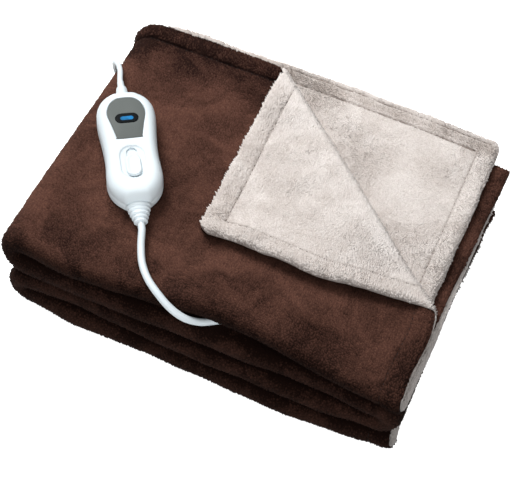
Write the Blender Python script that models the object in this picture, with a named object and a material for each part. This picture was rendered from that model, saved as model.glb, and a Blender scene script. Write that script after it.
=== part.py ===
"""Electric heated throw, folded into a thick rectangular pile, with its hand controller on top.

The throw is one sheet of two plush panels, brown outside and cream inside. It is folded in half twice
across its width, which gives four layers, and the strip of four layers is then folded back and forth
into four quarters that lie on each other. The corner of the top layer is turned back, cream side up.
The pile stands on z = 0, its front edge runs along X, and its thick folded side is at -X.
"""
import math

import bmesh
import bpy
from mathutils import Euler, Matrix, Vector

MM = 0.001

# Cloth: thicknesses and the distances from layer to layer, at the thick side of the pile.
PANEL = 2.4 * MM            # one plush panel
PANEL_GAP = 0.4 * MM        # between the two panels
LAYER_PITCH = 5.8 * MM      # one layer of both panels to the next
QUARTER_PITCH = 24.0 * MM   # one quarter of four layers to the next
THIN_SIDE = 0.76            # height of the pile at the open side, as a share of the folded side
HALF_SHEET = PANEL + PANEL_GAP / 2

# Plan of the pile.
LEFT_TURN_X = -180 * MM     # centre of the turns at the folded side
RIGHT_TURN_X = 175 * MM     # centre of the turn at the open side
TOP_HEM_X = 187 * MM        # right hem of the top quarter
LOW_HEM_X = 193 * MM        # right hem of the lowest quarter
FRONT_TURN_Y = -139 * MM    # centre of the turns along the front
BACK_TURN_Y = 155 * MM      # centre of the turn along the back
TOP_HEM_Y = 159 * MM        # back hem of the first layer
SECOND_HEM_Y = 165 * MM     # back hem of the second layer
PLAN_LEFT = -203 * MM
PLAN_RIGHT = 203 * MM

# Turned-back corner of the first layer: the crease's ends, on the back hem and on the right hem.
CREASE_BACK_X = -51 * MM
CREASE_RIGHT_Y = -54 * MM
CREASE_RADIUS = 3.1 * MM    # at the middle of the sheet
FLAP_RISE = 6.0 * MM        # how far the flap stands off near the right end of the crease
FLAP_SLIDE = 0.07           # how far the flap leans towards the back, as a share of its reach
FLAP_REACH = 1.09           # how much the plush stretches across the flap
FLAP_BULGE = 11.0 * MM      # how far the flap's front hem bows out

# Stations across the straight runs. All layers share them, so that no layer cuts its neighbour.
RUN_Y = [60 * MM, -80 * MM, -114 * MM]
RUN_X = [-120 * MM, -40 * MM, 40 * MM, 120 * MM]
TOP_RUN_X = [-120 * MM, -80 * MM, -40 * MM, 0, 40 * MM, 80 * MM, 115 * MM, 150 * MM]
TURN_STEPS = 5
BACK_TURN_STEPS = 4

# Where each quarter's front fold reaches, in mm, for the left to right positions in the first column.
FRONT_EDGE = [
    # x,    top,  second,  third, bottom
    (-200, -143.0, -148.0, -151.0, -145.5),
    (-120, -148.5, -151.5, -149.0, -154.5),
    (-40, -142.5, -151.0, -155.5, -158.0),
    (40, -141.5, -151.5, -158.0, -162.0),
    (120, -148.5, -151.0, -160.0, -163.5),
    (200, -154.0, -157.0, -157.0, -158.5),
]
# How far each quarter's back edge is set in or out, in mm: top, second, third, bottom.
BACK_SHIFT = (0.0, -12.0, -15.0, -16.0)
# How far the fold along the back draws in towards the open side.
FOLD_SET_IN = 17.0 * MM
# How far the top quarter's second layer bows out behind the first.
SECOND_BOW = 6.7 * MM
# How far the right hem of the top and the lowest quarter stands out at each layer, in mm.
HEM_STEP = [
    # distance name,   top, lowest
    ("first_back", 0.0, 0.0),
    ("first_front", 8.0, 2.0),
    ("fourth_front", 14.0, 5.0),
    ("fourth_back", 14.5, 5.0),
    ("third_back", 17.5, 3.5),
    ("third_front", 6.0, 3.0),
    ("second_front", 1.0, 1.0),
    ("second_back", 0.0, -1.0),
]

# Room under the top fold for the blanket's lead.
LEAD_ROOM_X = 38 * MM
LEAD_ROOM = 7.6 * MM

# Hand controller: its own X runs across, its own Y towards the mains lead, its own Z up.
CONTROLLER_X = -133.5 * MM
CONTROLLER_Y = -6.5 * MM
CONTROLLER_TURN = math.radians(33)
CONTROLLER_CLEAR = 1.0 * MM
SHELL_SPLIT = 11.0 * MM
SHELL_TOP = 25.0 * MM
GAP = 0.3 * MM
BODY_OUTLINE = [
    # along, half width
    (60.0, 8.0),
    (57.5, 14.5),
    (53.0, 20.5),
    (47.0, 24.8),
    (39.0, 27.6),
    (28.0, 28.3),
    (16.0, 27.4),
    (3.0, 26.2),
    (-10.0, 25.4),
    (-23.0, 25.4),
    (-36.0, 26.3),
    (-46.0, 26.3),
    (-55.0, 24.0),
    (-62.0, 19.8),
    (-67.0, 14.8),
    (-70.0, 9.0),
]
TRIM_OUTLINE = [
    # along, half width
    (48.0, 4.0),
    (46.5, 9.0),
    (42.0, 14.0),
    (34.0, 17.5),
    (27.0, 18.0),
    (17.0, 15.6),
    (7.0, 13.4),
    (0.5, 12.0),
    (-1.5, 10.5),
]
TRIM_THICK = 1.2 * MM
WINDOW_Y = 22.5 * MM
WINDOW_LENGTH = 22.0 * MM
WINDOW_WIDTH = 11.5 * MM
SLOT_WIDTH = 24.0 * MM
SLOT_DEPTH = 1.6 * MM
TRACK_WIDTH = 10.0 * MM
TRACK_DEPTH = 3.4 * MM
SLIDER_WIDTH = 14.0 * MM
SLIDER_LENGTH = 25.0 * MM
SLIDER_TRAVEL = 9.0 * MM
SLOT_LOW_Y = -49.0 * MM
SLOT_TOP_Y = SLOT_LOW_Y + SLIDER_LENGTH + SLIDER_TRAVEL + 4.5 * MM
LEAD_AXIS_Z = 8.5 * MM      # height of both leads where they leave the controller
COLLAR = [
    # along, radius
    (59.0, 6.4),
    (66.0, 5.7),
    (72.0, 5.0),
    (78.0, 4.3),
    (83.0, 3.9),
]
RELIEF = [
    # along, half width, half height
    (-69.5, 9.6, 7.2),
    (-73.0, 9.4, 7.0),
    (-73.6, 7.6, 5.9),
    (-75.0, 7.6, 5.9),
    (-75.6, 8.6, 6.6),
    (-77.2, 8.4, 6.4),
    (-77.8, 6.7, 5.4),
    (-79.2, 6.7, 5.4),
    (-79.8, 7.6, 6.0),
    (-81.4, 7.3, 5.8),
    (-82.0, 5.8, 4.9),
    (-83.4, 5.8, 4.9),
    (-84.0, 6.6, 5.4),
    (-85.6, 6.3, 5.2),
    (-86.2, 5.0, 4.5),
    (-87.6, 5.0, 4.5),
    (-88.2, 5.6, 5.0),
    (-90.0, 5.0, 4.6),
]

# Leads.
LEAD_RADIUS = 3.5 * MM
MAINS_RADIUS = 2.75 * MM
LEAD_ROUTE = [
    # x, y, z of the blanket's lead after it leaves the controller, in mm
    (-75.3, -104.0, 94.0),
    (-64.8, -119.3, 93.2),
    (-53.0, -132.2, 92.6),
    (-38.5, -141.8, 90.2),
    (-23.5, -147.8, 84.2),
    (-9.5, -148.0, 76.6),
    (3.5, -141.5, 69.2),
    (15.0, -132.5, 66.0),
    (28.0, -125.0, 65.4),
    (43.0, -119.5, 64.9),
]
MAINS_ROUTE = [
    # x, y, z of the mains lead after it leaves the controller, in mm
    (-187.3, 80.0, 99.0),
    (-195.3, 90.5, 94.9),
    (-203.6, 98.5, 86.3),
    (-208.0, 105.0, 71.5),
    (-209.3, 110.5, 50.0),
    (-210.0, 117.0, 28.0),
    (-210.5, 129.0, 11.2),
    (-211.0, 148.0, 3.7),
    (-210.0, 172.0, 3.3),
    (-203.0, 190.0, 3.3),
    (-188.0, 199.5, 3.4),
    (-176.0, 201.0, 3.9),
    (-171.0, 201.0, 3.9),
    (-166.9, 201.0, 3.9),
]
HANK_X = -96.25 * MM
HANK_Y = 178.9 * MM
HANK_RUN = 110 * MM
HANK_WIDTH = 49.5 * MM
HANK_HEIGHT = 16.5 * MM
TIE_THICK = 0.8 * MM
TIE_WIDTH = 14 * MM
TAIL_ROUTE = [
    # x, y, z of the stretch from the hank to the plug, in mm
    (-25.3, 200.9, 14.8),
    (-21.5, 200.9, 14.5),
    (-12.5, 198.9, 12.4),
    (-3.5, 194.0, 9.6),
    (5.0, 188.8, 7.7),
    (9.0, 187.0, 7.3),
    (12.1, 187.0, 7.3),
]
PLUG_X = 43.5 * MM          # back face of the plug's body
PLUG_Y = 179 * MM
PLUG_Z = 7.3 * MM
PLUG_CORD_Y = 187 * MM
PLUG_WIDTH = 35.0 * MM
PLUG_LENGTH = 34.0 * MM
PLUG_THICK = 14.0 * MM
PIN_RADIUS = 2.0 * MM
PIN_LENGTH = 19.0 * MM
PIN_PITCH = 18.6 * MM
PLUG_RELIEF = [
    # along, half width, half height
    (-31.0, 3.6, 3.6),
    (-22.0, 3.9, 3.9),
    (-12.0, 4.6, 4.4),
    (-4.0, 5.6, 5.0),
    (-0.3, 6.0, 5.2),
]


def clear_scene():
    """Remove every object of the scene."""
    for old in list(bpy.data.objects):
        bpy.data.objects.remove(old, do_unlink=True)


def make_material(name, colour, roughness, metallic=0.0):
    """A plain surface of one colour."""
    material = bpy.data.materials.new(name)
    material.use_nodes = True
    shader = material.node_tree.nodes["Principled BSDF"]
    shader.inputs["Base Color"].default_value = (*colour, 1.0)
    shader.inputs["Roughness"].default_value = roughness
    shader.inputs["Metallic"].default_value = metallic
    return material


def add_object(name, mesh, material, parent=None, smooth_angle=None):
    """Link a mesh as a named object with its material."""
    piece = bpy.data.objects.new(name, mesh)
    bpy.context.scene.collection.objects.link(piece)
    mesh.materials.append(material)
    if smooth_angle is not None:
        mesh.shade_smooth()
        mesh.set_sharp_from_angle(angle=math.radians(smooth_angle))
    if parent is not None:
        piece.parent = parent
    return piece


def mesh_from(bm, name):
    """Turn a bmesh into a mesh with its faces pointing out."""
    bmesh.ops.recalc_face_normals(bm, faces=bm.faces)
    mesh = bpy.data.meshes.new(name)
    bm.to_mesh(mesh)
    bm.free()
    return mesh


def smooth(t):
    """Ease from 0 to 1, flat outside that range."""
    t = min(1.0, max(0.0, t))
    return t * t * (3.0 - 2.0 * t)


def table_value(rows, x, column):
    """A column of a table read at x, straight between its rows. The first column is in mm."""
    if x <= rows[0][0] * MM:
        return rows[0][column] * MM
    for low, high in zip(rows, rows[1:]):
        if x <= high[0] * MM:
            t = (x - low[0] * MM) / ((high[0] - low[0]) * MM)
            return (low[column] * (1.0 - t) + high[column] * t) * MM
    return rows[-1][column] * MM


# ---------------------------------------------------------------- the folds


def run(start, end, level, side, stations, name):
    """A straight piece of a fold's section. side is +1 where the brown face looks up, else -1."""
    inner = [s for s in stations if min(start, end) + 0.02 < s < max(start, end) - 0.01]
    inner.sort(reverse=end < start)
    marks = [abs(s - start) for s in inner]
    sense = 1.0 if end > start else -1.0

    def place(s):
        return start + sense * s, level, 0.0, side

    return abs(end - start), marks, place, name


def turn(centre, level, radius, start, sweep, inward, steps, name):
    """A round turn of a fold's section. inward is True where the brown face is on its inside."""
    length = radius * abs(sweep)
    marks = [length * k / steps for k in range(1, steps)]
    side = -1.0 if inward else 1.0

    def place(s):
        angle = start + math.copysign(s / radius, sweep)
        across, up = math.cos(angle), math.sin(angle)
        return centre + radius * across, level + radius * up, side * across, side * up

    return length, marks, place, name


def depth_section():
    """The four layers in the (y, height) plane, from the first layer's back hem on."""
    p = LAYER_PITCH
    quarter = math.pi / 2
    return [
        run(TOP_HEM_Y, FRONT_TURN_Y, 1.5 * p, 1.0, RUN_Y, "first"),
        turn(FRONT_TURN_Y, 0.0, 1.5 * p, quarter, math.pi, False, TURN_STEPS, "outer_turn"),
        run(FRONT_TURN_Y, BACK_TURN_Y, -1.5 * p, -1.0, RUN_Y, "fourth"),
        turn(BACK_TURN_Y, -p, 0.5 * p, -quarter, math.pi, False, BACK_TURN_STEPS, "back_turn"),
        run(BACK_TURN_Y, FRONT_TURN_Y, -0.5 * p, 1.0, RUN_Y, "third"),
        turn(FRONT_TURN_Y, 0.0, 0.5 * p, 3 * quarter, -math.pi, True, TURN_STEPS, "inner_turn"),
        run(FRONT_TURN_Y, SECOND_HEM_Y, 0.5 * p, -1.0, RUN_Y, "second"),
    ]


def length_section():
    """The four quarters in the (x, height) plane, from the top quarter's right hem on."""
    half = QUARTER_PITCH / 2
    lowest = 1.5 * LAYER_PITCH + HALF_SHEET
    level = [lowest + QUARTER_PITCH * k for k in (3, 2, 1, 0)]
    quarter = math.pi / 2
    return [
        run(TOP_HEM_X, LEFT_TURN_X, level[0], 1.0, TOP_RUN_X, "top"),
        turn(LEFT_TURN_X, level[0] - half, half, quarter, math.pi, False, TURN_STEPS, "upper_left"),
        run(LEFT_TURN_X, RIGHT_TURN_X, level[1], -1.0, RUN_X, "second"),
        turn(RIGHT_TURN_X, level[1] - half, half, quarter, -math.pi, True, TURN_STEPS, "right"),
        run(RIGHT_TURN_X, LEFT_TURN_X, level[2], 1.0, RUN_X, "third"),
        turn(LEFT_TURN_X, level[2] - half, half, quarter, math.pi, False, TURN_STEPS, "lower_left"),
        run(LEFT_TURN_X, LOW_HEM_X, level[3], -1.0, RUN_X, "bottom"),
    ]


DEPTH = depth_section()
LENGTH = length_section()


def stations(section):
    """Distances along a section where the sheet is divided."""
    marks = [0.0]
    start = 0.0
    for length, inner, _, _ in section:
        marks += [start + mark for mark in inner]
        start += length
        marks.append(start)
    return marks


def locate(section, s):
    """Index of the piece that holds distance s, and the distance from that piece's start."""
    for index, (length, _, _, _) in enumerate(section):
        if s <= length or index == len(section) - 1:
            return index, s
        s -= length
    return 0, s


def on_section(section, s, offset):
    """The point at distance s along a section, moved by offset towards the brown face."""
    index, rest = locate(section, s)
    length, _, place, _ = section[index]
    if index % 2 == 0:
        along, up, _, side = place(rest)
        return along, up + offset * side, index, rest / length
    along, up, across, rise = place(rest)
    return along + offset * across, up + offset * rise, index, rest / length


def hem_step(depth_index, share, column):
    """How far a quarter's right hem stands out at a place of the depth section."""
    order = {0: (0, 1), 1: (1, 2), 2: (2, 3), 3: (3, 4), 4: (4, 5), 5: (5, 6), 6: (6, 7)}
    first, last = order[depth_index]
    t = min(1.0, max(0.0, share))
    if depth_index == 0:
        t = t ** 5      # the first layer's hem bows out only near the front
    return (HEM_STEP[first][column] * (1.0 - t) + HEM_STEP[last][column] * t) * MM


def quarter_mix(length_index, share):
    """The two quarters that a place of the length section lies between, and how far it is on."""
    if length_index % 2 == 0:
        quarter = length_index // 2
        return quarter, quarter, 0.0
    before = (length_index - 1) // 2
    return before, before + 1, smooth(share)


def pile_height(x):
    """The pile is thick at its folded side and thinner at its open side."""
    t = (x - PLAN_LEFT) / (PLAN_RIGHT - PLAN_LEFT)
    return 1.0 - (1.0 - THIN_SIDE) * t


def swell(x, y):
    """Slow unevenness of the pile's height, as a share of it, and none under the controller."""
    wave = math.sin(15.0 * x + 0.6) * math.cos(9.0 * y - 0.4)
    away = ((x - CONTROLLER_X) ** 2 + (y - CONTROLLER_Y) ** 2) / 0.085 ** 2
    return 0.012 * wave * (1.0 - math.exp(-away))


def second_bow(x):
    """How far the second layer's back hem bows out, most of it in the middle."""
    t = min(1.0, max(0.0, (x + 0.215) / 0.41))
    return SECOND_BOW * math.sin(math.pi * t) ** 0.8 * smooth((x + 0.18) / 0.04)


def lead_room(x, y):
    """How far the top quarter is lifted along the front, where the blanket's lead goes in."""
    sideways = smooth((0.085 - abs(x - LEAD_ROOM_X)) / 0.045)
    inward = smooth((-0.080 - y) / 0.034)
    return LEAD_ROOM * sideways * inward


def fold_sheet(u, v, offset):
    """Carry a point of the flat sheet to its place in the pile.

    u is the distance from the first layer's back hem, v the distance from the top quarter's right
    hem, and offset the distance from the middle of the sheet towards its brown face.
    """
    y, height, depth_index, depth_share = on_section(DEPTH, u, offset)
    x, z, length_index, length_share = on_section(LENGTH, v, height)
    if length_index == 0:
        x += hem_step(depth_index, depth_share, 1) * smooth(1.0 - 4.0 * length_share)
    elif length_index == 6:
        x += hem_step(depth_index, depth_share, 2) * smooth(4.0 * length_share - 3.0)
    before, after, mix = quarter_mix(length_index, length_share)
    front = table_value(FRONT_EDGE, x, before + 1) * (1.0 - mix)
    front += table_value(FRONT_EDGE, x, after + 1) * mix
    plain_front = FRONT_TURN_Y - 1.5 * LAYER_PITCH - HALF_SHEET
    back = (BACK_SHIFT[before] * (1.0 - mix) + BACK_SHIFT[after] * mix) * MM
    t = (y - FRONT_TURN_Y) / (BACK_TURN_Y - FRONT_TURN_Y)
    near_front = smooth(1.0 - t)
    near_back = smooth(2.0 * t - 1.0)
    if depth_index in (2, 3, 4):
        back -= FOLD_SET_IN * smooth((x - 0.03) / 0.17)
    if depth_index == 6 and length_index == 0:
        back += second_bow(x)
    z *= pile_height(x) * (1.0 + swell(x, y))
    if length_index == 0:
        z += lead_room(x, y)
    y += (front - plain_front) * near_front + back * near_back
    return Vector((x, y, z))


# ---------------------------------------------------------------- the turned-back corner


def crease_frame():
    """A point of the crease, and the direction from it to the corner, in the flat top layer."""
    point = Vector((CREASE_BACK_X, TOP_HEM_Y))
    along = Vector((TOP_HEM_X, CREASE_RIGHT_Y)) - point
    normal = Vector((-along.y, along.x)).normalized()
    if normal.dot(Vector((TOP_HEM_X, TOP_HEM_Y)) - point) < 0:
        normal.negate()
    return point, normal


CREASE_POINT, CREASE_NORMAL = crease_frame()


def turn_corner(x, y, offset):
    """Roll what lies beyond the crease up and over, onto the layer in front of it."""
    beyond = (Vector((x, y)) - CREASE_POINT).dot(CREASE_NORMAL)
    if beyond <= 1e-7:
        return x, y, offset
    t = min(1.0, max(0.0, (TOP_HEM_Y - y) / (TOP_HEM_Y - CREASE_RIGHT_Y)))
    near_hem = smooth((x - TOP_HEM_X + 0.08) / 0.08)
    x += FLAP_BULGE * math.sin(math.pi * t) ** 2 * near_hem
    beyond = (Vector((x, y)) - CREASE_POINT).dot(CREASE_NORMAL)
    half_turn = math.pi * CREASE_RADIUS
    if beyond < half_turn:
        angle = beyond / CREASE_RADIUS
        reach = (CREASE_RADIUS - offset) * math.sin(angle)
        height = CREASE_RADIUS - (CREASE_RADIUS - offset) * math.cos(angle)
        lifted = 0.0
    else:
        reach = half_turn - beyond
        height = 2.0 * CREASE_RADIUS - offset
        lifted = smooth((beyond - half_turn) / 0.10)
        reach *= FLAP_REACH
        x += FLAP_SLIDE * reach * CREASE_NORMAL.y
        y -= FLAP_SLIDE * reach * CREASE_NORMAL.x
    x += (reach - beyond) * CREASE_NORMAL.x
    y += (reach - beyond) * CREASE_NORMAL.y
    towards_right = smooth((x - 0.0) / 0.15) * smooth((0.06 - y) / 0.09)
    return x, y, height + FLAP_RISE * lifted * towards_right


def flat_sheet():
    """The flat sheet in (x, y), divided along its folds into triangles.

    Layers that lie on each other have the same diagonals in the pile, so that their gap is even.
    """
    vs = stations(LENGTH)
    us = stations(DEPTH)
    bm = bmesh.new()
    grid = [[bm.verts.new((TOP_HEM_X - v, TOP_HEM_Y - u, 0.0)) for u in us] for v in vs]
    for j in range(len(vs) - 1):
        quarter = locate(LENGTH, (vs[j] + vs[j + 1]) / 2)[0] // 2
        for k in range(len(us) - 1):
            layer = locate(DEPTH, (us[k] + us[k + 1]) / 2)[0] // 2
            a, b, c, d = grid[j][k], grid[j][k + 1], grid[j + 1][k + 1], grid[j + 1][k]
            if (quarter + layer) % 2 == 0:
                bm.faces.new((a, b, c))
                bm.faces.new((a, c, d))
            else:
                bm.faces.new((a, b, d))
                bm.faces.new((b, c, d))
    for part in range(5):
        shift = math.pi * CREASE_RADIUS * part / 4
        spot = CREASE_POINT + CREASE_NORMAL * shift
        bmesh.ops.bisect_plane(
            bm,
            geom=bm.verts[:] + bm.edges[:] + bm.faces[:],
            dist=1e-6,
            plane_co=(spot.x, spot.y, 0.0),
            plane_no=(CREASE_NORMAL.x, CREASE_NORMAL.y, 0.0),
        )
    bmesh.ops.triangulate(bm, faces=bm.faces[:], quad_method="FIXED", ngon_method="EAR_CLIP")
    return bm


def make_panel(name, low, high, material):
    """One panel of the sheet, between two offsets from its middle, folded into the pile."""
    bm = flat_sheet()
    bottom = bm.faces[:]
    copy = bmesh.ops.extrude_face_region(bm, geom=bottom, use_keep_orig=True)
    top_verts = {item for item in copy["geom"] if isinstance(item, bmesh.types.BMVert)}
    for vert in bm.verts:
        offset = high if vert in top_verts else low
        x, y, offset = turn_corner(vert.co.x, vert.co.y, offset)
        vert.co = fold_sheet(TOP_HEM_Y - y, TOP_HEM_X - x, offset)
    bmesh.ops.triangulate(bm, faces=bm.faces[:])
    return add_object(name, mesh_from(bm, name), material, smooth_angle=50)


# ---------------------------------------------------------------- hard pieces


def mirrored_outline(rows):
    """A closed outline from a table of half widths, right side up and left side down."""
    right = [Vector((half * MM, along * MM)) for along, half in rows]
    left = [Vector((-point.x, point.y)) for point in reversed(right)]
    return right + left


def stadium(length, width, steps):
    """A closed outline with two straight sides and two half-round ends, along X."""
    radius = width / 2
    straight = (length - width) / 2
    points = []
    for side, start in ((1, -90), (-1, 90)):
        for k in range(steps + 1):
            angle = math.radians(start + 180 * k / steps)
            points.append(Vector((side * straight + radius * math.cos(angle), radius * math.sin(angle))))
    return points


def shift_outline(points, dx, dy):
    """An outline moved in its plane."""
    return [Vector((point.x + dx, point.y + dy)) for point in points]


def slab(points, low, high):
    """A bmesh slab of an outline between two heights."""
    bm = bmesh.new()
    base = bm.faces.new([bm.verts.new((point.x, point.y, low)) for point in points])
    raised = bmesh.ops.extrude_face_region(bm, geom=[base], use_keep_orig=True)
    verts = [item for item in raised["geom"] if isinstance(item, bmesh.types.BMVert)]
    bmesh.ops.translate(bm, verts=verts, vec=(0.0, 0.0, high - low))
    bmesh.ops.recalc_face_normals(bm, faces=bm.faces)
    return bm


def round_rim(bm, level, width, segments):
    """Round the edges that lie at one height."""
    rim = [e for e in bm.edges if all(abs(v.co.z - level) < 1e-7 for v in e.verts)]
    bmesh.ops.bevel(bm, geom=rim, offset=width, offset_type="OFFSET", segments=segments,
                    profile=0.5, affect="EDGES", material=-1)


def cutter(name, bm, parent):
    """A body that is only cut out of others."""
    piece = bpy.data.objects.new(name, mesh_from(bm, name))
    bpy.context.scene.collection.objects.link(piece)
    piece.parent = parent
    piece.hide_render = True
    piece.display_type = "WIRE"
    return piece


def cut(piece, tool):
    """Cut one body out of a piece."""
    modifier = piece.modifiers.new("cut_" + tool.name, "BOOLEAN")
    modifier.operation = "DIFFERENCE"
    modifier.object = tool


def lofted(rows, sides, axis_z):
    """A round-sided body along Y from rows of (along, half width, half height)."""
    bm = bmesh.new()
    rings = []
    for along, half_width, half_height in rows:
        ring = []
        for k in range(sides):
            angle = 2 * math.pi * (k + 0.5) / sides
            across = half_width * MM * math.cos(angle)
            up = half_height * MM * math.sin(angle)
            ring.append(bm.verts.new((across, along * MM, axis_z + up)))
        rings.append(ring)
    for one, two in zip(rings, rings[1:]):
        for k in range(sides):
            bm.faces.new((one[k], one[(k + 1) % sides], two[(k + 1) % sides], two[k]))
    bm.faces.new(rings[0])
    bm.faces.new(rings[-1])
    return bm


def controller_seat():
    """An empty on the pile's top, turned and tilted as the controller lies."""
    slope = (pile_height(0.0) - pile_height(1.0))
    full = 1.5 * LAYER_PITCH + HALF_SHEET + 3 * QUARTER_PITCH + 1.5 * LAYER_PITCH + HALF_SHEET
    tilt = math.atan(full * slope)
    height = full * pile_height(CONTROLLER_X) + CONTROLLER_CLEAR
    seat = bpy.data.objects.new("controller_seat", None)
    bpy.context.scene.collection.objects.link(seat)
    seat.location = (CONTROLLER_X, CONTROLLER_Y, height)
    turn_matrix = Matrix.Rotation(tilt, 3, "Y") @ Matrix.Rotation(CONTROLLER_TURN, 3, "Z")
    seat.rotation_euler = turn_matrix.to_euler()
    return seat


def make_controller(seat, white, sheath, grey, glass):
    """The two shells, the grey trim plate, its window and the thumb slider."""
    outline = mirrored_outline(BODY_OUTLINE)
    lower = slab(outline, 0.0, SHELL_SPLIT)
    round_rim(lower, 0.0, 4.0 * MM, 2)
    add_object("controller_lower_shell", mesh_from(lower, "lower"), white, seat, 40)

    upper = slab(outline, SHELL_SPLIT + GAP, SHELL_TOP)
    round_rim(upper, SHELL_TOP, 7.0 * MM, 4)
    shell = add_object("controller_upper_shell", mesh_from(upper, "upper"), white, seat, 40)

    trim_middle = (TRIM_OUTLINE[0][0] + TRIM_OUTLINE[-1][0]) / 2
    trim_room = mirrored_outline([
        (trim_middle + (along - trim_middle) * 1.018, half + 0.45) for along, half in TRIM_OUTLINE
    ])
    pocket = slab(trim_room, SHELL_TOP - TRIM_THICK + 0.2 * MM - GAP, SHELL_TOP + 5 * MM)
    cut(shell, cutter("trim_pocket", pocket, seat))
    middle_y = (SLOT_TOP_Y + SLOT_LOW_Y) / 2
    slot = stadium(SLOT_TOP_Y - SLOT_LOW_Y, SLOT_WIDTH, 8)
    slot = [Vector((-point.y, point.x + middle_y)) for point in slot]
    cut(shell, cutter("slider_dish", slab(slot, SHELL_TOP - SLOT_DEPTH, SHELL_TOP + 5 * MM), seat))
    track = stadium(SLOT_TOP_Y - SLOT_LOW_Y - 4 * MM, TRACK_WIDTH, 6)
    track = [Vector((-point.y, point.x + middle_y)) for point in track]
    cut(shell, cutter("slider_track", slab(track, SHELL_TOP - TRACK_DEPTH, SHELL_TOP + 5 * MM), seat))

    plate_low = SHELL_TOP - TRIM_THICK + 0.2 * MM
    plate = slab(mirrored_outline(TRIM_OUTLINE), plate_low, SHELL_TOP + 0.2 * MM)
    trim = add_object("controller_trim_plate", mesh_from(plate, "plate"), grey, seat, 40)
    opening = shift_outline(stadium(WINDOW_LENGTH + 2 * GAP, WINDOW_WIDTH + 2 * GAP, 8), 0.0, WINDOW_Y)
    cut(trim, cutter("window_opening", slab(opening, plate_low - MM, SHELL_TOP + 5 * MM), seat))
    pane_outline = shift_outline(stadium(WINDOW_LENGTH, WINDOW_WIDTH, 8), 0.0, WINDOW_Y)
    pane = slab(pane_outline, plate_low, SHELL_TOP + 0.5 * MM)
    add_object("controller_window", mesh_from(pane, "pane"), glass, seat, 40)

    foot_top = SHELL_TOP - SLOT_DEPTH + GAP
    stem = stadium(SLIDER_LENGTH - 6 * MM, TRACK_WIDTH - 2 * GAP - 0.4 * MM, 6)
    stem = [Vector((-point.y, point.x)) for point in stem]
    key = slab(stem, SHELL_TOP - TRACK_DEPTH + GAP, foot_top + 0.5 * MM)
    cap_outline = stadium(SLIDER_LENGTH, SLIDER_WIDTH, 8)
    cap_outline = [Vector((-point.y, point.x)) for point in cap_outline]
    cap = slab(cap_outline, foot_top, SHELL_TOP + 1.6 * MM)
    round_rim(cap, SHELL_TOP + 1.6 * MM, 1.2 * MM, 2)
    slider = add_object("controller_slider", mesh_from(cap, "cap"), white, seat, 40)
    slider.location = (0.0, SLOT_LOW_Y + SLIDER_LENGTH / 2 + 2.0 * MM, 0.0)
    stem_piece = cutter("slider_stem", key, seat)
    stem_piece.location = slider.location
    joined = slider.modifiers.new("stem", "BOOLEAN")
    joined.operation = "UNION"
    joined.object = stem_piece

    collar = lofted([(along, radius, radius) for along, radius in COLLAR], 12, LEAD_AXIS_Z)
    relief = lofted(RELIEF, 12, LEAD_AXIS_Z)
    collar_piece = add_object("mains_collar", mesh_from(collar, "collar"), sheath, seat, 40)
    relief_piece = add_object("lead_relief", mesh_from(relief, "relief"), sheath, seat, 30)
    for piece, low, high in ((collar_piece, 50.0, 60.3), (relief_piece, -70.3, -60.0)):
        trim_outline = [
            Vector((side * 15 * MM, along * MM))
            for side, along in ((-1, low), (1, low), (1, high), (-1, high))
        ]
        cut(piece, cutter("cut_" + piece.name, slab(trim_outline, -5 * MM, 30 * MM), seat))


# ---------------------------------------------------------------- leads


def smooth_route(points, pitch):
    """Points about one pitch apart on a smooth curve through the route's own points.

    The first and the last point of the route stay, so that the lead meets its neighbours squarely.
    """
    knots = [points[0] * 2 - points[1]] + points + [points[-1] * 2 - points[-2]]
    dense = []
    for k in range(2, len(knots) - 3):
        before, start, end, after = knots[k - 1:k + 3]
        for step in range(24):
            t = step / 24
            even = start * 2 + (end - before) * t
            even += (before * 2 - start * 5 + end * 4 - after) * t ** 2
            even += (start * 3 - before - end * 3 + after) * t ** 3
            dense.append(even / 2)
    dense.append(points[-2].copy())
    total = sum((b - a).length for a, b in zip(dense, dense[1:]))
    count = max(2, round(total / pitch))
    result = [dense[0]]
    walked = 0.0
    for a, b in zip(dense, dense[1:]):
        walked += (b - a).length
        if walked >= total * len(result) / count and len(result) < count:
            result.append(b)
    result.append(dense[-1])
    return [points[0]] + result + [points[-1]]


def tube(name, points, radius, resolution, material):
    """A plain tube with closed ends along a route."""
    data = bpy.data.curves.new(name, "CURVE")
    data.dimensions = "3D"
    data.bevel_depth = radius
    data.bevel_resolution = resolution
    data.use_fill_caps = True
    spline = data.splines.new("POLY")
    spline.points.add(len(points) - 1)
    for point, place in zip(spline.points, points):
        point.co = (*place, 1.0)
    data.materials.append(material)
    piece = bpy.data.objects.new(name, data)
    bpy.context.scene.collection.objects.link(piece)
    return piece


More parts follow.
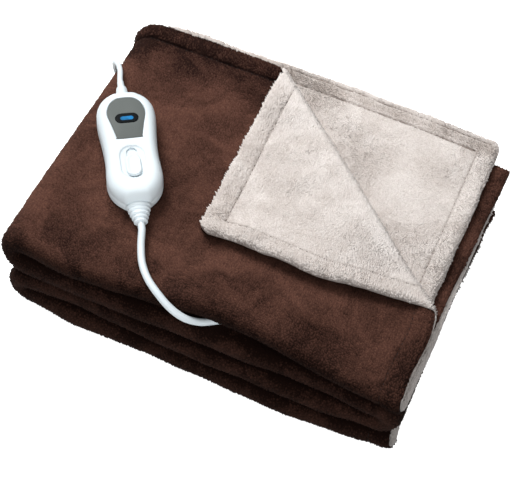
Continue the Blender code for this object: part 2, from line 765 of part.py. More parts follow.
def make_leads(seat, sheath, strap):
    """The blanket's lead, the mains lead with its hank and tie, and the plug."""
    frame = Matrix.LocRotScale(seat.location, seat.rotation_euler, None)
    route = [frame @ Vector((0.0, -along * MM, LEAD_AXIS_Z)) for along in (90.35, 93.5, 97.0)]
    route += [Vector(row) * MM for row in LEAD_ROUTE]
    tube("blanket_lead", smooth_route(route, 15 * MM), LEAD_RADIUS, 2, sheath)

    route = [frame @ Vector((0.0, along * MM, LEAD_AXIS_Z)) for along in (83.35, 86.0)]
    route += [Vector(row) * MM for row in MAINS_ROUTE]
    tube("mains_lead", smooth_route(route, 12 * MM), MAINS_RADIUS, 2, sheath)
    tail = [Vector(row) * MM for row in TAIL_ROUTE]
    tube("mains_lead_tail", smooth_route(tail, 9 * MM), MAINS_RADIUS, 2, sheath)

    low = TIE_THICK + GAP
    coil = shift_outline(stadium(HANK_RUN + HANK_WIDTH, HANK_WIDTH, 10), HANK_X, HANK_Y)
    coil = slab(coil, low, low + HANK_HEIGHT)
    round_rim(coil, low + HANK_HEIGHT, 2.4 * MM, 2)
    round_rim(coil, low, 2.4 * MM, 2)
    add_object("mains_lead_hank", mesh_from(coil, "hank"), sheath, None, 50)

    half_width = HANK_WIDTH / 2 + GAP + TIE_THICK
    band = bmesh.new()
    bmesh.ops.create_cube(band, size=1.0)
    top = low + HANK_HEIGHT + GAP + TIE_THICK
    bmesh.ops.scale(band, verts=band.verts, vec=(TIE_WIDTH, 2 * half_width, top))
    bmesh.ops.translate(band, verts=band.verts, vec=(HANK_X, HANK_Y, top / 2))
    tie = add_object("hank_tie", mesh_from(band, "tie"), strap)
    inside = bmesh.new()
    bmesh.ops.create_cube(inside, size=1.0)
    inside_height = HANK_HEIGHT + 2 * GAP
    inside_size = (2 * TIE_WIDTH, HANK_WIDTH + 2 * GAP, inside_height)
    bmesh.ops.scale(inside, verts=inside.verts, vec=inside_size)
    bmesh.ops.translate(inside, verts=inside.verts, vec=(HANK_X, HANK_Y, TIE_THICK + inside_height / 2))
    cut(tie, cutter("tie_inside", inside, None))


def make_plug(white, sheath, plated):
    """A slim two-pin plug lying flat, its strain relief towards -X."""
    seat = bpy.data.objects.new("plug_seat", None)
    bpy.context.scene.collection.objects.link(seat)
    seat.location = (PLUG_X, PLUG_Y, PLUG_Z)
    seat.rotation_euler = Euler((0.0, math.pi, math.radians(-90)))
    side = PLUG_CORD_Y - PLUG_Y
    half_width = PLUG_WIDTH / 2
    body_outline = [
        Vector((side - 9 * MM, 0.0)),
        Vector((side + 8 * MM, 0.0)),
        Vector((half_width, 8 * MM)),
        Vector((half_width, PLUG_LENGTH)),
        Vector((-half_width, PLUG_LENGTH)),
        Vector((-half_width, 14 * MM)),
    ]
    body = slab(body_outline, -PLUG_THICK / 2 + 0.2 * MM, PLUG_THICK / 2)
    corners = [e for e in body.edges if abs(e.verts[0].co.z - e.verts[1].co.z) > 1 * MM]
    bmesh.ops.bevel(body, geom=corners, offset=3.5 * MM, offset_type="OFFSET", segments=3,
                    profile=0.5, affect="EDGES", material=-1)
    round_rim(body, PLUG_THICK / 2, 2.0 * MM, 2)
    round_rim(body, -PLUG_THICK / 2 + 0.2 * MM, 2.0 * MM, 2)
    add_object("plug_body", mesh_from(body, "plug"), white, seat, 40)
    relief = lofted(PLUG_RELIEF, 12, 0.0)
    relief_piece = add_object("plug_relief", mesh_from(relief, "plug_relief"), sheath, seat, 40)
    relief_piece.location = (side, 0.0, 0.0)
    for name, across in (("plug_pin_left", -PIN_PITCH / 2), ("plug_pin_right", PIN_PITCH / 2)):
        pin = lofted([(0.0, PIN_RADIUS / MM, PIN_RADIUS / MM),
                      ((PIN_LENGTH - 1 * MM) / MM, PIN_RADIUS / MM, PIN_RADIUS / MM),
                      (PIN_LENGTH / MM, 1.3, 1.3)], 10, 0.0)
        piece = add_object(name, mesh_from(pin, name), plated, seat, 40)
        piece.location = (across, PLUG_LENGTH + GAP, 0.0)


def main():
    """Build the whole object."""
    clear_scene()
    brown = make_material("brown_plush", (0.075, 0.032, 0.022), 0.95)
    cream = make_material("cream_plush", (0.62, 0.55, 0.49), 0.95)
    white = make_material("white_plastic", (0.82, 0.82, 0.83), 0.35)
    grey = make_material("grey_plastic", (0.18, 0.18, 0.19), 0.45)
    glass = make_material("dark_window", (0.02, 0.025, 0.03), 0.15)
    sheath = make_material("white_lead", (0.80, 0.80, 0.80), 0.5)
    strap = make_material("tie_strap", (0.70, 0.70, 0.70), 0.8)
    plated = make_material("plated_pins", (0.72, 0.70, 0.66), 0.3, 1.0)
    make_panel("face_panel", PANEL_GAP / 2, HALF_SHEET, brown)
    make_panel("back_panel", -HALF_SHEET, -PANEL_GAP / 2, cream)
    seat = controller_seat()
    make_controller(seat, white, sheath, grey, glass)
    make_leads(seat, sheath, strap)
    make_plug(white, sheath, plated)


main()
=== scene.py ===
"""Electric heated throw, folded into a pile: its plush, handset, leads and plug.

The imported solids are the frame. Every operator here makes one group of finer pieces in their place,
in metres. The pile stands on z = 0, its front edge runs along X and its thick folded side is at -X.
"""
import math
import random

import bmesh
import bpy
from bpy.props import FloatProperty, FloatVectorProperty, PointerProperty
from mathutils import Euler, Matrix, Vector, noise


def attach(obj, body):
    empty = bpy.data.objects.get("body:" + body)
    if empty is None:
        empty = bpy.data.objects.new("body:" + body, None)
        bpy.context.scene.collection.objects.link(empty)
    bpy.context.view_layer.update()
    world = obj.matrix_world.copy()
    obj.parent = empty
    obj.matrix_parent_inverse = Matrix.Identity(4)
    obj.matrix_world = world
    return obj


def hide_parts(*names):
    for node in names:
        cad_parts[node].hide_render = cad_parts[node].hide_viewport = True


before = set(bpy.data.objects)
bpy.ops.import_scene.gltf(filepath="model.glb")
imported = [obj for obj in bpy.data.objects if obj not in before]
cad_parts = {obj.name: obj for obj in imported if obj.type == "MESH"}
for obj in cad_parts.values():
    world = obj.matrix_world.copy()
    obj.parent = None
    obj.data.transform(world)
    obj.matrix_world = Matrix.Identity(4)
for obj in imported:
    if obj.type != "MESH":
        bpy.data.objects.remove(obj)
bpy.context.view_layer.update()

bl_info = {
    "name": "Heated Throw",
    "version": (1, 0, 0),
    "blender": (4, 5, 0),
    "location": "3D View > Sidebar > Heated Throw",
    "description": "Folded plush heated throw with its handset, leads and plug",
    "category": "Add Mesh",
}

MM = 0.001
THROW = "throw"
SLIDER = "slider"
PLASTIC = "white_plastic_pieces"

# ---------------------------------------------------------------- sizes shared with the solids

PANEL = 2.4 * MM
PANEL_GAP = 0.4 * MM
HALF_SHEET = PANEL + PANEL_GAP / 2
LAYER_PITCH = 5.8 * MM
QUARTER_PITCH = 24.0 * MM
THIN_SIDE = 0.76
LEFT_TURN_X = -180 * MM
RIGHT_TURN_X = 175 * MM
TOP_HEM_X = 187 * MM
LOW_HEM_X = 193 * MM
FRONT_TURN_Y = -139 * MM
BACK_TURN_Y = 155 * MM
TOP_HEM_Y = 159 * MM
SECOND_HEM_Y = 165 * MM
PLAN_LEFT = -203 * MM
PLAN_RIGHT = 203 * MM
CREASE_BACK_X = -51 * MM
CREASE_RIGHT_Y = -54 * MM
CREASE_RADIUS = 3.1 * MM
FLAP_RISE = 6.0 * MM
FLAP_SLIDE = 0.07
FLAP_REACH = 1.09
FLAP_BULGE = 11.0 * MM
FLAP_CURL = 3.2 * MM
FLAP_DEPTH = 245 * MM
FLAP_LENGTH = 262 * MM
FRONT_EDGE = [
    # x, and where the front fold of the top, second, third and bottom quarter reaches, in mm
    (-200, -143.0, -148.0, -151.0, -147.5),
    (-120, -148.5, -151.5, -149.0, -156.5),
    (-40, -142.5, -151.0, -155.5, -158.0),
    (40, -141.5, -151.5, -158.0, -163.0),
    (120, -148.5, -151.0, -160.0, -165.5),
    (200, -154.0, -157.0, -157.0, -160.0),
]
BACK_SHIFT = (0.0, -12.0, -15.0, -16.0)
FOLD_SET_IN = 17.0 * MM
SECOND_BOW = 5.9 * MM
LEFT_SET_IN = 2.4 * MM
LOW_SET_IN = 3.5 * MM
FIRST_BULGE = 7.5 * MM
HEM_STEP = [
    # how far the right hem of the top and of the lowest quarter stands out at each layer, in mm
    (0.0, -4.0),
    (8.0, 3.5),
    (13.0, -2.0),
    (16.0, 8.0),
    (17.5, 3.5),
    (6.0, -6.0),
    (1.0, -6.0),
    (0.0, -1.0),
]
LEAD_ROOM_X = 38 * MM
LEAD_ROOM = 7.6 * MM
# the throw's corners are rounded to this radius, and its edge is round from this far in
CORNER_RADIUS = 13 * MM
EDGE_ROUND = 4.2 * MM
# strips of cloth that show: at an inner layer's hem, at the open right side and along the back hem
INNER_STRIP = 8 * MM
OPEN_STRIP = 24 * MM
BACK_STRIP = 26 * MM
# how far in from the open side the cloth's edge wanders and its nap is painted lighter
OPEN_REACH = 30 * MM
# one lockstitch with the gap after it
STITCH = 5.6 * MM
STITCH_KNOTS = (
    # share of the stitch, height over the cloth in mm, share of the thread's thickness
    (0.05, -0.4, 0.6),
    (0.24, 0.45, 1.0),
    (0.58, 0.45, 1.0),
    (0.77, -0.4, 0.6),
)

HANDSET_X = -133.5 * MM
HANDSET_Y = -6.5 * MM
HANDSET_TURN = math.radians(33)
HANDSET_CLEAR = 1.0 * MM
# the handset's print in the plush: a line between two round ends, its half width and its rise
SEAT_ENDS = (-45 * MM, 33 * MM)
SEAT_HALF_WIDTH = 26.2 * MM
SEAT_RISE = 0.6 * MM
SHELL_SPLIT = 11.0
SHELL_TOP = 25.0
SHELL_GAP = 0.3
BODY_OUTLINE = [
    # along, half width, in mm
    (60.0, 8.0),
    (57.5, 14.5),
    (53.0, 20.5),
    (47.0, 24.8),
    (39.0, 27.6),
    (28.0, 28.3),
    (16.0, 27.4),
    (3.0, 26.2),
    (-10.0, 25.4),
    (-23.0, 25.4),
    (-36.0, 26.3),
    (-46.0, 26.3),
    (-55.0, 24.0),
    (-62.0, 19.8),
    (-67.0, 14.8),
    (-70.0, 9.0),
]
TRIM_OUTLINE = [
    (48.0, 4.0),
    (46.5, 9.0),
    (42.0, 14.0),
    (34.0, 17.5),
    (27.0, 18.0),
    (17.0, 15.6),
    (7.0, 13.4),
    (0.5, 12.0),
    (-1.5, 10.5),
]
# half width, half length and middle of the two outlines above
BODY_REACH = (28.3, 65.0, -5.0)
TRIM_REACH = (18.0, 24.75, 23.25)
WINDOW_Y = 22.5
WINDOW_LENGTH = 22.0
WINDOW_WIDTH = 11.5
BAR_Y = 22.2
BAR_LENGTH = 12.6
BAR_WIDTH = 4.4
SLOT_LOW_Y = -49.0
SLOT_TOP_Y = -10.5
SLOT_WIDTH = 24.0
SLOT_DEPTH = 1.6
TRACK_WIDTH = 10.0
TRACK_DEPTH = 3.4
SLIDER_WIDTH = 14.0
SLIDER_LENGTH = 25.0
LEAD_AXIS_Z = 8.5

LEAD_RADIUS = 3.5 * MM
MAINS_RADIUS = 2.75 * MM
LEAD_ROUTE = [
    (-73.8, -103.4, 94.0),
    (-64.8, -119.3, 93.2),
    (-53.0, -132.2, 92.6),
    (-38.5, -141.8, 90.2),
    (-23.5, -147.8, 84.2),
    (-9.5, -148.0, 76.6),
    (3.5, -141.5, 69.2),
    (15.0, -132.5, 66.0),
    (28.0, -125.0, 65.4),
    (43.0, -119.5, 64.9),
]
MAINS_ROUTE = [
    (-187.3, 80.0, 99.0),
    (-195.3, 90.5, 94.9),
    (-203.6, 98.5, 86.3),
    (-208.0, 105.0, 71.5),
    (-209.3, 110.5, 50.0),
    (-210.0, 117.0, 28.0),
    (-210.5, 129.0, 11.2),
    (-211.0, 148.0, 3.7),
    (-210.0, 172.0, 3.3),
    (-203.0, 190.0, 3.3),
    (-188.0, 199.5, 3.4),
    (-176.0, 200.9, 3.85),
    (-166.0, 200.9, 3.85),
]
TAIL_ROUTE = [
    (-29.5, 200.9, 14.9),
    (-21.5, 200.9, 14.5),
    (-12.5, 198.9, 12.4),
    (-3.5, 194.0, 9.6),
    (5.0, 188.8, 7.7),
    (9.0, 187.0, 7.3),
    (15.5, 187.0, 7.3),
]
HANK_X = -96.25
HANK_Y = 178.9
HANK_RUN = 110.0
HANK_FLOOR = 3.85
HANK_ROUNDS = (
    # distance from the middle line, and how far the round swings out at its left end, in mm
    (22.0, 0.0),
    (16.5, 0.0),
    (16.5, 0.0),
    (22.0, 2.9),
    (22.0, 0.0),
)
# shares of a round of the hank at which its back run, right end and front run stop, and of an end
BACK_RUN_STOP = 0.2
RIGHT_END_STOP = 0.5
FRONT_RUN_STOP = 0.7
END_SHARE = 0.3
TIE_WIDTH = 14.0
PLUG_X = 43.5
PLUG_Y = 179.0
PLUG_CORD_Y = 187.0
PLUG_Z = 7.3
PLUG_WIDTH = 35.0
PLUG_LENGTH = 34.0
PLUG_THICK = 14.0
PIN_RADIUS = 2.0
PIN_LENGTH = 19.0
PIN_PITCH = 18.6

# the photo's camera: degrees from the front towards +X, degrees up, metres to its target
CAMERA_AZIMUTH = 23.5
CAMERA_ELEVATION = 53.8
CAMERA_DISTANCE = 1.3275
CAMERA_TARGET = (0.00531, -0.022125, 0.039825)
# the front light's power as a share of the key light's
FRONT_LIGHT_SHARE = 0.14


def linear(code):
    """Turn an sRGB hex colour into Blender's linear values."""
    channels = [int(code[k:k + 2], 16) / 255 for k in (1, 3, 5)]
    return tuple(c / 12.92 if c <= 0.04045 else ((c + 0.055) / 1.055) ** 2.4 for c in channels)


# ---------------------------------------------------------------- settings


class HeatedThrowCloth(bpy.types.PropertyGroup):
    """Sizes and colours of the plush."""

    hem_width: FloatProperty(
        name="Hem width",
        description="Distance from the throw's edge to the stitch line of its hem",
        default=0.019, min=0.008, max=0.04, unit="LENGTH",
    )
    hem_puff: FloatProperty(
        name="Hem puff",
        description="How far the hem stands up between its edge and its stitch line",
        default=0.0026, min=0.0, max=0.005, unit="LENGTH",
    )
    pile_relief: FloatProperty(
        name="Pile relief",
        description="Unevenness of the brushed pile",
        default=0.0004, min=0.0, max=0.002, unit="LENGTH",
    )
    tuft_height: FloatProperty(
        name="Tuft height",
        description="How far the tufts of the pile stand out of the panels",
        default=0.00125, min=0.0, max=0.005, unit="LENGTH",
    )
    brown_dark: FloatVectorProperty(
        name="Brown, shaded nap", description="Brown plush where the nap lies away from the light",
        subtype="COLOR", default=linear("#24140f"), min=0.0, max=1.0,
    )
    brown_light: FloatVectorProperty(
        name="Brown, lit nap", description="Brown plush where the nap lies towards the light",
        subtype="COLOR", default=linear("#775144"), min=0.0, max=1.0,
    )
    cream_dark: FloatVectorProperty(
        name="Cream, shaded nap", description="Cream plush where the nap lies away from the light",
        subtype="COLOR", default=linear("#bcb1aa"), min=0.0, max=1.0,
    )
    cream_light: FloatVectorProperty(
        name="Cream, lit nap", description="Cream plush where the nap lies towards the light",
        subtype="COLOR", default=linear("#f2ece8"), min=0.0, max=1.0,
    )


class HeatedThrowHandset(bpy.types.PropertyGroup):
    """Colours of the handset."""

    shell: FloatVectorProperty(
        name="Shell", description="White moulded shells and slider",
        subtype="COLOR", default=linear("#dde7ec"), min=0.0, max=1.0,
    )
    trim: FloatVectorProperty(
        name="Panel", description="Grey panel round the display",
        subtype="COLOR", default=linear("#5d6260"), min=0.0, max=1.0,
    )
    display: FloatVectorProperty(
        name="Display bar", description="Lit bar in the display",
        subtype="COLOR", default=linear("#1f74ad"), min=0.0, max=1.0,
    )


class HeatedThrowLeads(bpy.types.PropertyGroup):
    """Lengths and colour of the leads."""

    blanket_length: FloatProperty(
        name="Blanket lead", description="Length of the lead from the handset into the throw",
        default=0.18, min=0.1, max=3.0, unit="LENGTH",
    )
    mains_length: FloatProperty(
        name="Mains lead", description="Length of the lead from the handset to the plug",
        default=1.79, min=0.5, max=5.0, unit="LENGTH",
    )
    sheath: FloatVectorProperty(
        name="Sheath", description="White flexible sheath of both leads",
        subtype="COLOR", default=linear("#dde7ec"), min=0.0, max=1.0,
    )


class HeatedThrowStage(bpy.types.PropertyGroup):
    """Camera and light."""

    lens: FloatProperty(
        name="Lens", description="Focal length of the camera, in millimetres on a 36 mm sensor",
        default=97.19, min=20.0, max=300.0,
    )
    key_power: FloatProperty(
        name="Key light", description="Power of the large soft light over the throw, in watts",
        default=37.0, min=0.0, max=500.0,
    )
    fill: FloatProperty(
        name="Fill", description="Brightness of the plain surroundings overhead",
        default=0.40, min=0.0, max=5.0,
    )
    plastic_power: FloatProperty(
        name="Light on the plastic",
        description="Power of the light on the handset and leads, in watts",
        default=18.0, min=0.0, max=100.0,
    )
    floor: FloatVectorProperty(
        name="Floor", description="Plain pale floor",
        subtype="COLOR", default=linear("#f4f4f3"), min=0.0, max=1.0,
    )


# ---------------------------------------------------------------- small helpers


def clamp(value, low=0.0, high=1.0):
    """The value, or the limit that it is past."""
    return min(high, max(low, value))


def smooth(t):
    """Ease from 0 to 1, flat outside that range."""
    t = clamp(t)
    return t * t * (3.0 - 2.0 * t)


def bell(x, width):
    """A bell curve of height 1."""
    return math.exp(-(x / width) ** 2)


def spline(before, start, end, after, t):
    """A smooth curve from start to end, which also looks at the points before and after."""
    even = start * 2 + (end - before) * t
    even += (before * 2 - start * 5 + end * 4 - after) * t ** 2
    even += (start * 3 - before - end * 3 + after) * t ** 3
    return even / 2


def closed_spline(points, parts):
    """A closed smooth outline through points, each stretch cut into parts."""
    count = len(points)
    result = []
    for k in range(count):
        around = [points[(k + shift) % count] for shift in (-1, 0, 1, 2)]
        result += [spline(*around, step / parts) for step in range(parts)]
    return result


def mirrored_outline(rows, grow=0.0, stretch=1.0):
    """A closed outline from a table of (along, half width), in mm."""
    middle = (rows[0][0] + rows[-1][0]) / 2
    right = [Vector((half + grow, middle + (along - middle) * stretch)) for along, half in rows]
    return right + [Vector((-point.x, point.y)) for point in reversed(right)]


def stadium(length, width, steps, centre):
    """An outline with straight sides along Y and half-round ends, in mm."""
    radius = width / 2
    straight = (length - width) / 2
    points = []
    for side in (1, -1):
        for k in range(steps + 1):
            angle = math.pi * k / steps + (0.0 if side > 0 else math.pi)
            point = Vector((radius * math.cos(angle), side * straight + radius * math.sin(angle)))
            points.append(point + centre)
    return points


def ring(bm, points):
    """A closed ring of edges through the points."""
    made = bmesh.ops.create_circle(bm, cap_ends=False, radius=1.0, segments=len(points))
    for vert, point in zip(made["verts"], points):
        vert.co = point
    return made["verts"]


def ring_edges(verts):
    """The edges that join the vertices of a ring to each other."""
    chosen = set(verts)
    return list({e for v in verts for e in v.link_edges if e.other_vert(v) in chosen})


def next_ring(bm, verts, points):
    """Extrude a ring of edges and carry the new one to its points."""
    made = bmesh.ops.extrude_edge_only(bm, edges=ring_edges(verts))["geom"]
    fresh = {item for item in made if isinstance(item, bmesh.types.BMVert)}
    ahead = [next(e.other_vert(v) for e in v.link_edges if e.other_vert(v) in fresh) for v in verts]
    for vert, point in zip(ahead, points):
        vert.co = point
    return ahead


def fill_between(bm, *rings):
    """Close the flat face between rings of vertices."""
    edges = [edge for verts in rings for edge in ring_edges(verts)]
    bmesh.ops.triangle_fill(bm, use_beauty=True, use_dissolve=False, edges=edges)


def loft(rings, caps=(True, True)):
    """A body through rings of points, closed at its ends where caps says so."""
    bm = bmesh.new()
    first = ring(bm, rings[0])
    last = first
    for points in rings[1:]:
        last = next_ring(bm, last, points)
    for chosen, wanted in ((first, caps[0]), (last, caps[1])):
        if wanted:
            bmesh.ops.contextual_create(bm, geom=ring_edges(chosen))
    return bm, first, last


def level_ring(outline, z):
    """An outline in the handset's plane as points at one height."""
    return [Vector((point.x, point.y, z)) for point in outline]


def shrunk(outline, inset, reach_x, reach_y, middle=0.0):
    """An outline drawn in by inset at its sides and ends."""
    across, along = 1.0 - inset / reach_x, 1.0 - inset / reach_y
    return [Vector((point.x * across, middle + (point.y - middle) * along)) for point in outline]


def tube_ring(along, half_width, half_height, sides, axis_z, axis_x=0.0):
    """A ring round an axis along Y."""
    points = []
    for k in range(sides):
        angle = 2 * math.pi * k / sides
        across, up = half_width * math.cos(angle), half_height * math.sin(angle)
        points.append(Vector((axis_x + across, along, axis_z + up)))
    return points


def finish_piece(name, bm, material, body, place=None, scale=1.0, replaced=(),
                 sharp=None, closed=True):
    """Make a bmesh a piece of the object: in metres, in place, smooth, and riding on its body."""
    if scale != 1.0:
        bmesh.ops.scale(bm, verts=bm.verts, vec=(scale, scale, scale))
    if place is not None:
        bmesh.ops.transform(bm, matrix=place, verts=bm.verts)
    if closed:
        bmesh.ops.recalc_face_normals(bm, faces=bm.faces)
    mesh = bpy.data.meshes.new(name)
    bm.to_mesh(mesh)
    bm.free()
    mesh.materials.append(material)
    mesh.shade_smooth()
    if sharp is not None:
        mesh.set_sharp_from_angle(angle=math.radians(sharp))
    piece = bpy.data.objects.new(name, mesh)
    bpy.context.scene.collection.objects.link(piece)
    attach(piece, body)
    if replaced:
        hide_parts(*replaced)
    return piece


def new_curve(name, radius, resolution, material):
    """Curve data whose lines are drawn as round threads or leads."""
    data = bpy.data.curves.new(name, "CURVE")
    data.dimensions = "3D"
    data.bevel_depth = radius
    data.bevel_resolution = resolution
    data.use_fill_caps = True
    data.materials.append(material)
    return data


def brighten(piece):
    """Let the light on the white plastic reach a piece."""
    bpy.data.collections[PLASTIC].objects.link(piece)


# ---------------------------------------------------------------- materials


def add_node(tree, kind, settings=(), values=(), links=()):
    """Add a node with its settings, its socket values and the outputs that feed it."""
    node = tree.nodes.new(kind)
    for name, value in dict(settings).items():
        setattr(node, name, value)
    for name, value in dict(values).items():
        node.inputs[name].default_value = value
    for name, source in dict(links).items():
        tree.links.new(source, node.inputs[name])
    return node


def new_material(name, shader_values):
    """A material with one shader and its constant values."""
    material = bpy.data.materials.new(name)
    material.use_nodes = True
    shader = material.node_tree.nodes["Principled BSDF"]
    for socket, value in shader_values.items():
        shader.inputs[socket].default_value = value
    return material, material.node_tree, shader


def object_place(tree):
    """The coordinates of the piece itself, in metres."""
    return add_node(tree, "ShaderNodeTexCoord").outputs["Object"]


def noise_value(tree, place, scale, detail, roughness=0.5, distortion=0.0):
    """A noise with its scale in cells per metre."""
    return add_node(tree, "ShaderNodeTexNoise", {}, {
        "Scale": scale, "Detail": detail, "Roughness": roughness, "Distortion": distortion},
        {"Vector": place}).outputs["Fac"]


def spread(tree, value, low, high, new_low=0.0, new_high=1.0, kind="LINEAR"):
    """A value carried from the range low to high onto another one."""
    return add_node(tree, "ShaderNodeMapRange", {"interpolation_type": kind}, {
        "From Min": low, "From Max": high, "To Min": new_low, "To Max": new_high},
        {"Value": value}).outputs["Result"]


def mixed_values(tree, share, first, second):
    """Two values mixed by a constant share of the second one."""
    return add_node(tree, "ShaderNodeMix", {"data_type": "FLOAT"}, {0: share}, {
        2: first, 3: second}).outputs[0]


def mixed_colours(tree, value, first, second):
    """The colour between two constant ones where a value lies."""
    return add_node(tree, "ShaderNodeMix", {"data_type": "RGBA"}, {
        6: (*first, 1.0), 7: (*second, 1.0)}, {0: value}).outputs[2]


def scaled(colour, factor):
    """A colour made lighter or darker."""
    return tuple(channel * factor for channel in colour)


def add_bump(tree, shader, height, strength, distance):
    """Let a height, of so many metres at full strength, tilt the shader's normal."""
    bump = add_node(tree, "ShaderNodeBump", {}, {
        "Strength": strength, "Distance": distance}, {"Height": height})
    tree.links.new(bump.outputs["Normal"], shader.inputs["Normal"])


def plush_material(name, dark, light, seam, relief, sheen):
    """Short brushed polyester pile.

    The nap lies in patches, lighter towards the light and darker away from it. Each tuft is lighter
    at its tip than at its root and has its own shade. An attribute adds painted light and shade, and
    seam lines lie deeper, darkened by painted shade in the groove.
    """
    material, tree, shader = new_material(name, {
        "Roughness": 0.95,
        "Specular IOR Level": 0.1,
        "Sheen Weight": sheen,
        "Sheen Roughness": 0.4,
        "Sheen Tint": (*light, 1.0),
    })
    flat = add_node(tree, "ShaderNodeUVMap", {"uv_map": "flat"}).outputs["UV"]
    # brush marks 25 to 60 mm across
    brush = noise_value(tree, flat, 21.0, 4.0, 0.62, 0.9)
    # tufts that lean together, about 7 mm
    clumps = noise_value(tree, flat, 140.0, 3.0, 0.65, 0.4)
    # fibre ends: the real ones are under 0.3 mm, drawn at 1.6 mm so that they show
    fibres = noise_value(tree, flat, 620.0, 2.0, 0.6)
    patches = spread(tree, brush, 0.38, 0.62, kind="SMOOTHSTEP")
    mottle = spread(tree, clumps, 0.30, 0.70)
    grain = spread(tree, fibres, 0.32, 0.68)
    nap = mixed_values(tree, 0.42, mixed_values(tree, 0.4, patches, mottle), grain)
    tip = add_node(tree, "ShaderNodeAttribute", {"attribute_name": "tip"})
    mixed = mixed_values(tree, 0.26, nap, tip.outputs["Fac"])
    # painted light and shade: how much lighter or darker the nap is made at a place
    lie = add_node(tree, "ShaderNodeAttribute", {"attribute_name": "lie"})
    shade = add_node(tree, "ShaderNodeMath", {"operation": "ADD", "use_clamp": True}, {}, {
        0: mixed, 1: lie.outputs["Fac"]})
    cloth = mixed_colours(tree, shade.outputs[0], dark, light)
    # painted shade in the stitched grooves: the seam colour is mixed in as deep as the seam lies
    groove = add_node(tree, "ShaderNodeAttribute", {"attribute_name": "seam"})
    groove_shaded = add_node(tree, "ShaderNodeMix", {"data_type": "RGBA"}, {7: (*seam, 1.0)}, {
        0: groove.outputs["Fac"], 6: cloth})
    tree.links.new(groove_shaded.outputs[2], shader.inputs["Base Color"])
    # the height of clumps and fibres together
    add_bump(tree, shader, mixed_values(tree, 0.55, mottle, grain), 1.0, relief)
    return material


def thread_material(name, colour):
    """Twisted polyester sewing thread: satin, its colour broken by the twist."""
    material, tree, shader = new_material(name, {"Roughness": 0.7, "Specular IOR Level": 0.3})
    # strands of the twist: the real ones are 0.2 mm, drawn at 0.6 mm so that they show
    twist = noise_value(tree, object_place(tree), 1600.0, 1.0)
    mixed = mixed_colours(tree, twist, scaled(colour, 0.7), scaled(colour, 1.2))
    tree.links.new(mixed, shader.inputs["Base Color"])
    add_bump(tree, shader, twist, 0.6, 0.0001)
    return material


def moulded_material(name, colour, roughness, grain, relief, shine=0.5):
    """Injection-moulded plastic: an even colour, a satin skin and a faint spark-eroded texture.

    grain is the texture's scale in cells per metre, where 1000 is 1 mm, and relief its depth.
    """
    material, tree, shader = new_material(name, {
        "Base Color": (*colour, 1.0),
        "IOR": 1.54,
        "Specular IOR Level": shine,
    })
    place = object_place(tree)
    texture = noise_value(tree, place, grain, 3.0, 0.6)
    # places worn smoother by handling, about 20 mm
    handled = noise_value(tree, place, 45.0, 2.0)
    satin = spread(tree, handled, 0.3, 0.7, roughness - 0.04, roughness + 0.05)
    tree.links.new(satin, shader.inputs["Roughness"])
    add_bump(tree, shader, texture, 0.5, relief)
    return material


def webbing_material():
    """Woven hook-and-loop strap: a matt ribbed weave."""
    material, tree, shader = new_material("nylon_hook_and_loop_strap", {"Roughness": 0.85})
    # ribs of the weave, 1.1 mm apart
    ribs = add_node(tree, "ShaderNodeTexWave", {"bands_direction": "X"}, {
        "Scale": 145.0, "Distortion": 1.2, "Detail": 2.0, "Detail Scale": 3.0},
        {"Vector": object_place(tree)}).outputs["Fac"]
    colour = mixed_colours(tree, ribs, linear("#b9bdbf"), linear("#dfe2e3"))
    tree.links.new(colour, shader.inputs["Base Color"])
    add_bump(tree, shader, ribs, 0.8, 0.0003)
    return material


def plated_material():
    """Nickel-plated brass pins: a warm grey metal with fine drawing lines."""
    material, tree, shader = new_material("nickel_plated_brass", {
        "Base Color": (*linear("#c9c4b8"), 1.0), "Metallic": 1.0})
    # lines 0.4 mm apart, drawn out twelve times as long
    drawn = add_node(tree, "ShaderNodeMapping", {}, {"Scale": (0.08, 1.0, 1.0)}, {
        "Vector": object_place(tree)})
    lines = noise_value(tree, drawn.outputs["Vector"], 2600.0, 2.0)
    rough = spread(tree, lines, 0.0, 1.0, 0.16, 0.34)
    tree.links.new(rough, shader.inputs["Roughness"])
    return material


def display_material(colour):
    """A lit liquid-crystal bar with faint brighter and dimmer patches, behind a clear window."""
    material, tree, shader = new_material("lit_display_bar", {
        "Roughness": 0.5, "Specular IOR Level": 0.05, "Emission Strength": 0.2})
    # patches of about 6 mm
    cells = noise_value(tree, object_place(tree), 160.0, 1.0)
    blue = mixed_colours(tree, spread(tree, cells, 0.3, 0.7), scaled(colour, 0.45), colour)
    tree.links.new(blue, shader.inputs["Base Color"])
    tree.links.new(blue, shader.inputs["Emission Color"])
    return material


# ---------------------------------------------------------------- the folds


def run(start, end, level, side):
    """A straight piece of a fold's section. side is +1 where the brown face looks up, else -1."""
    sense = 1.0 if end > start else -1.0

    def place(s):
        return start + sense * s, level, 0.0, side

    return abs(end - start), place


def turn(centre, level, radius, start, sweep, inward):
    """A round turn of a fold's section. inward is True where the brown face is on its inside."""
    side = -1.0 if inward else 1.0

    def place(s):
        angle = start + math.copysign(s / radius, sweep)
        across, up = math.cos(angle), math.sin(angle)
        return centre + radius * across, level + radius * up, side * across, side * up

    return radius * abs(sweep), place


def depth_section():
    """The four layers in the (y, height) plane, from the first layer's back hem on."""
    p = LAYER_PITCH
    quarter = math.pi / 2
    return [
        run(TOP_HEM_Y, FRONT_TURN_Y, 1.5 * p, 1.0),
        turn(FRONT_TURN_Y, 0.0, 1.5 * p, quarter, math.pi, False),
        run(FRONT_TURN_Y, BACK_TURN_Y, -1.5 * p, -1.0),
        turn(BACK_TURN_Y, -p, 0.5 * p, -quarter, math.pi, False),
        run(BACK_TURN_Y, FRONT_TURN_Y, -0.5 * p, 1.0),
        turn(FRONT_TURN_Y, 0.0, 0.5 * p, 3 * quarter, -math.pi, True),
        run(FRONT_TURN_Y, SECOND_HEM_Y, 0.5 * p, -1.0),
    ]


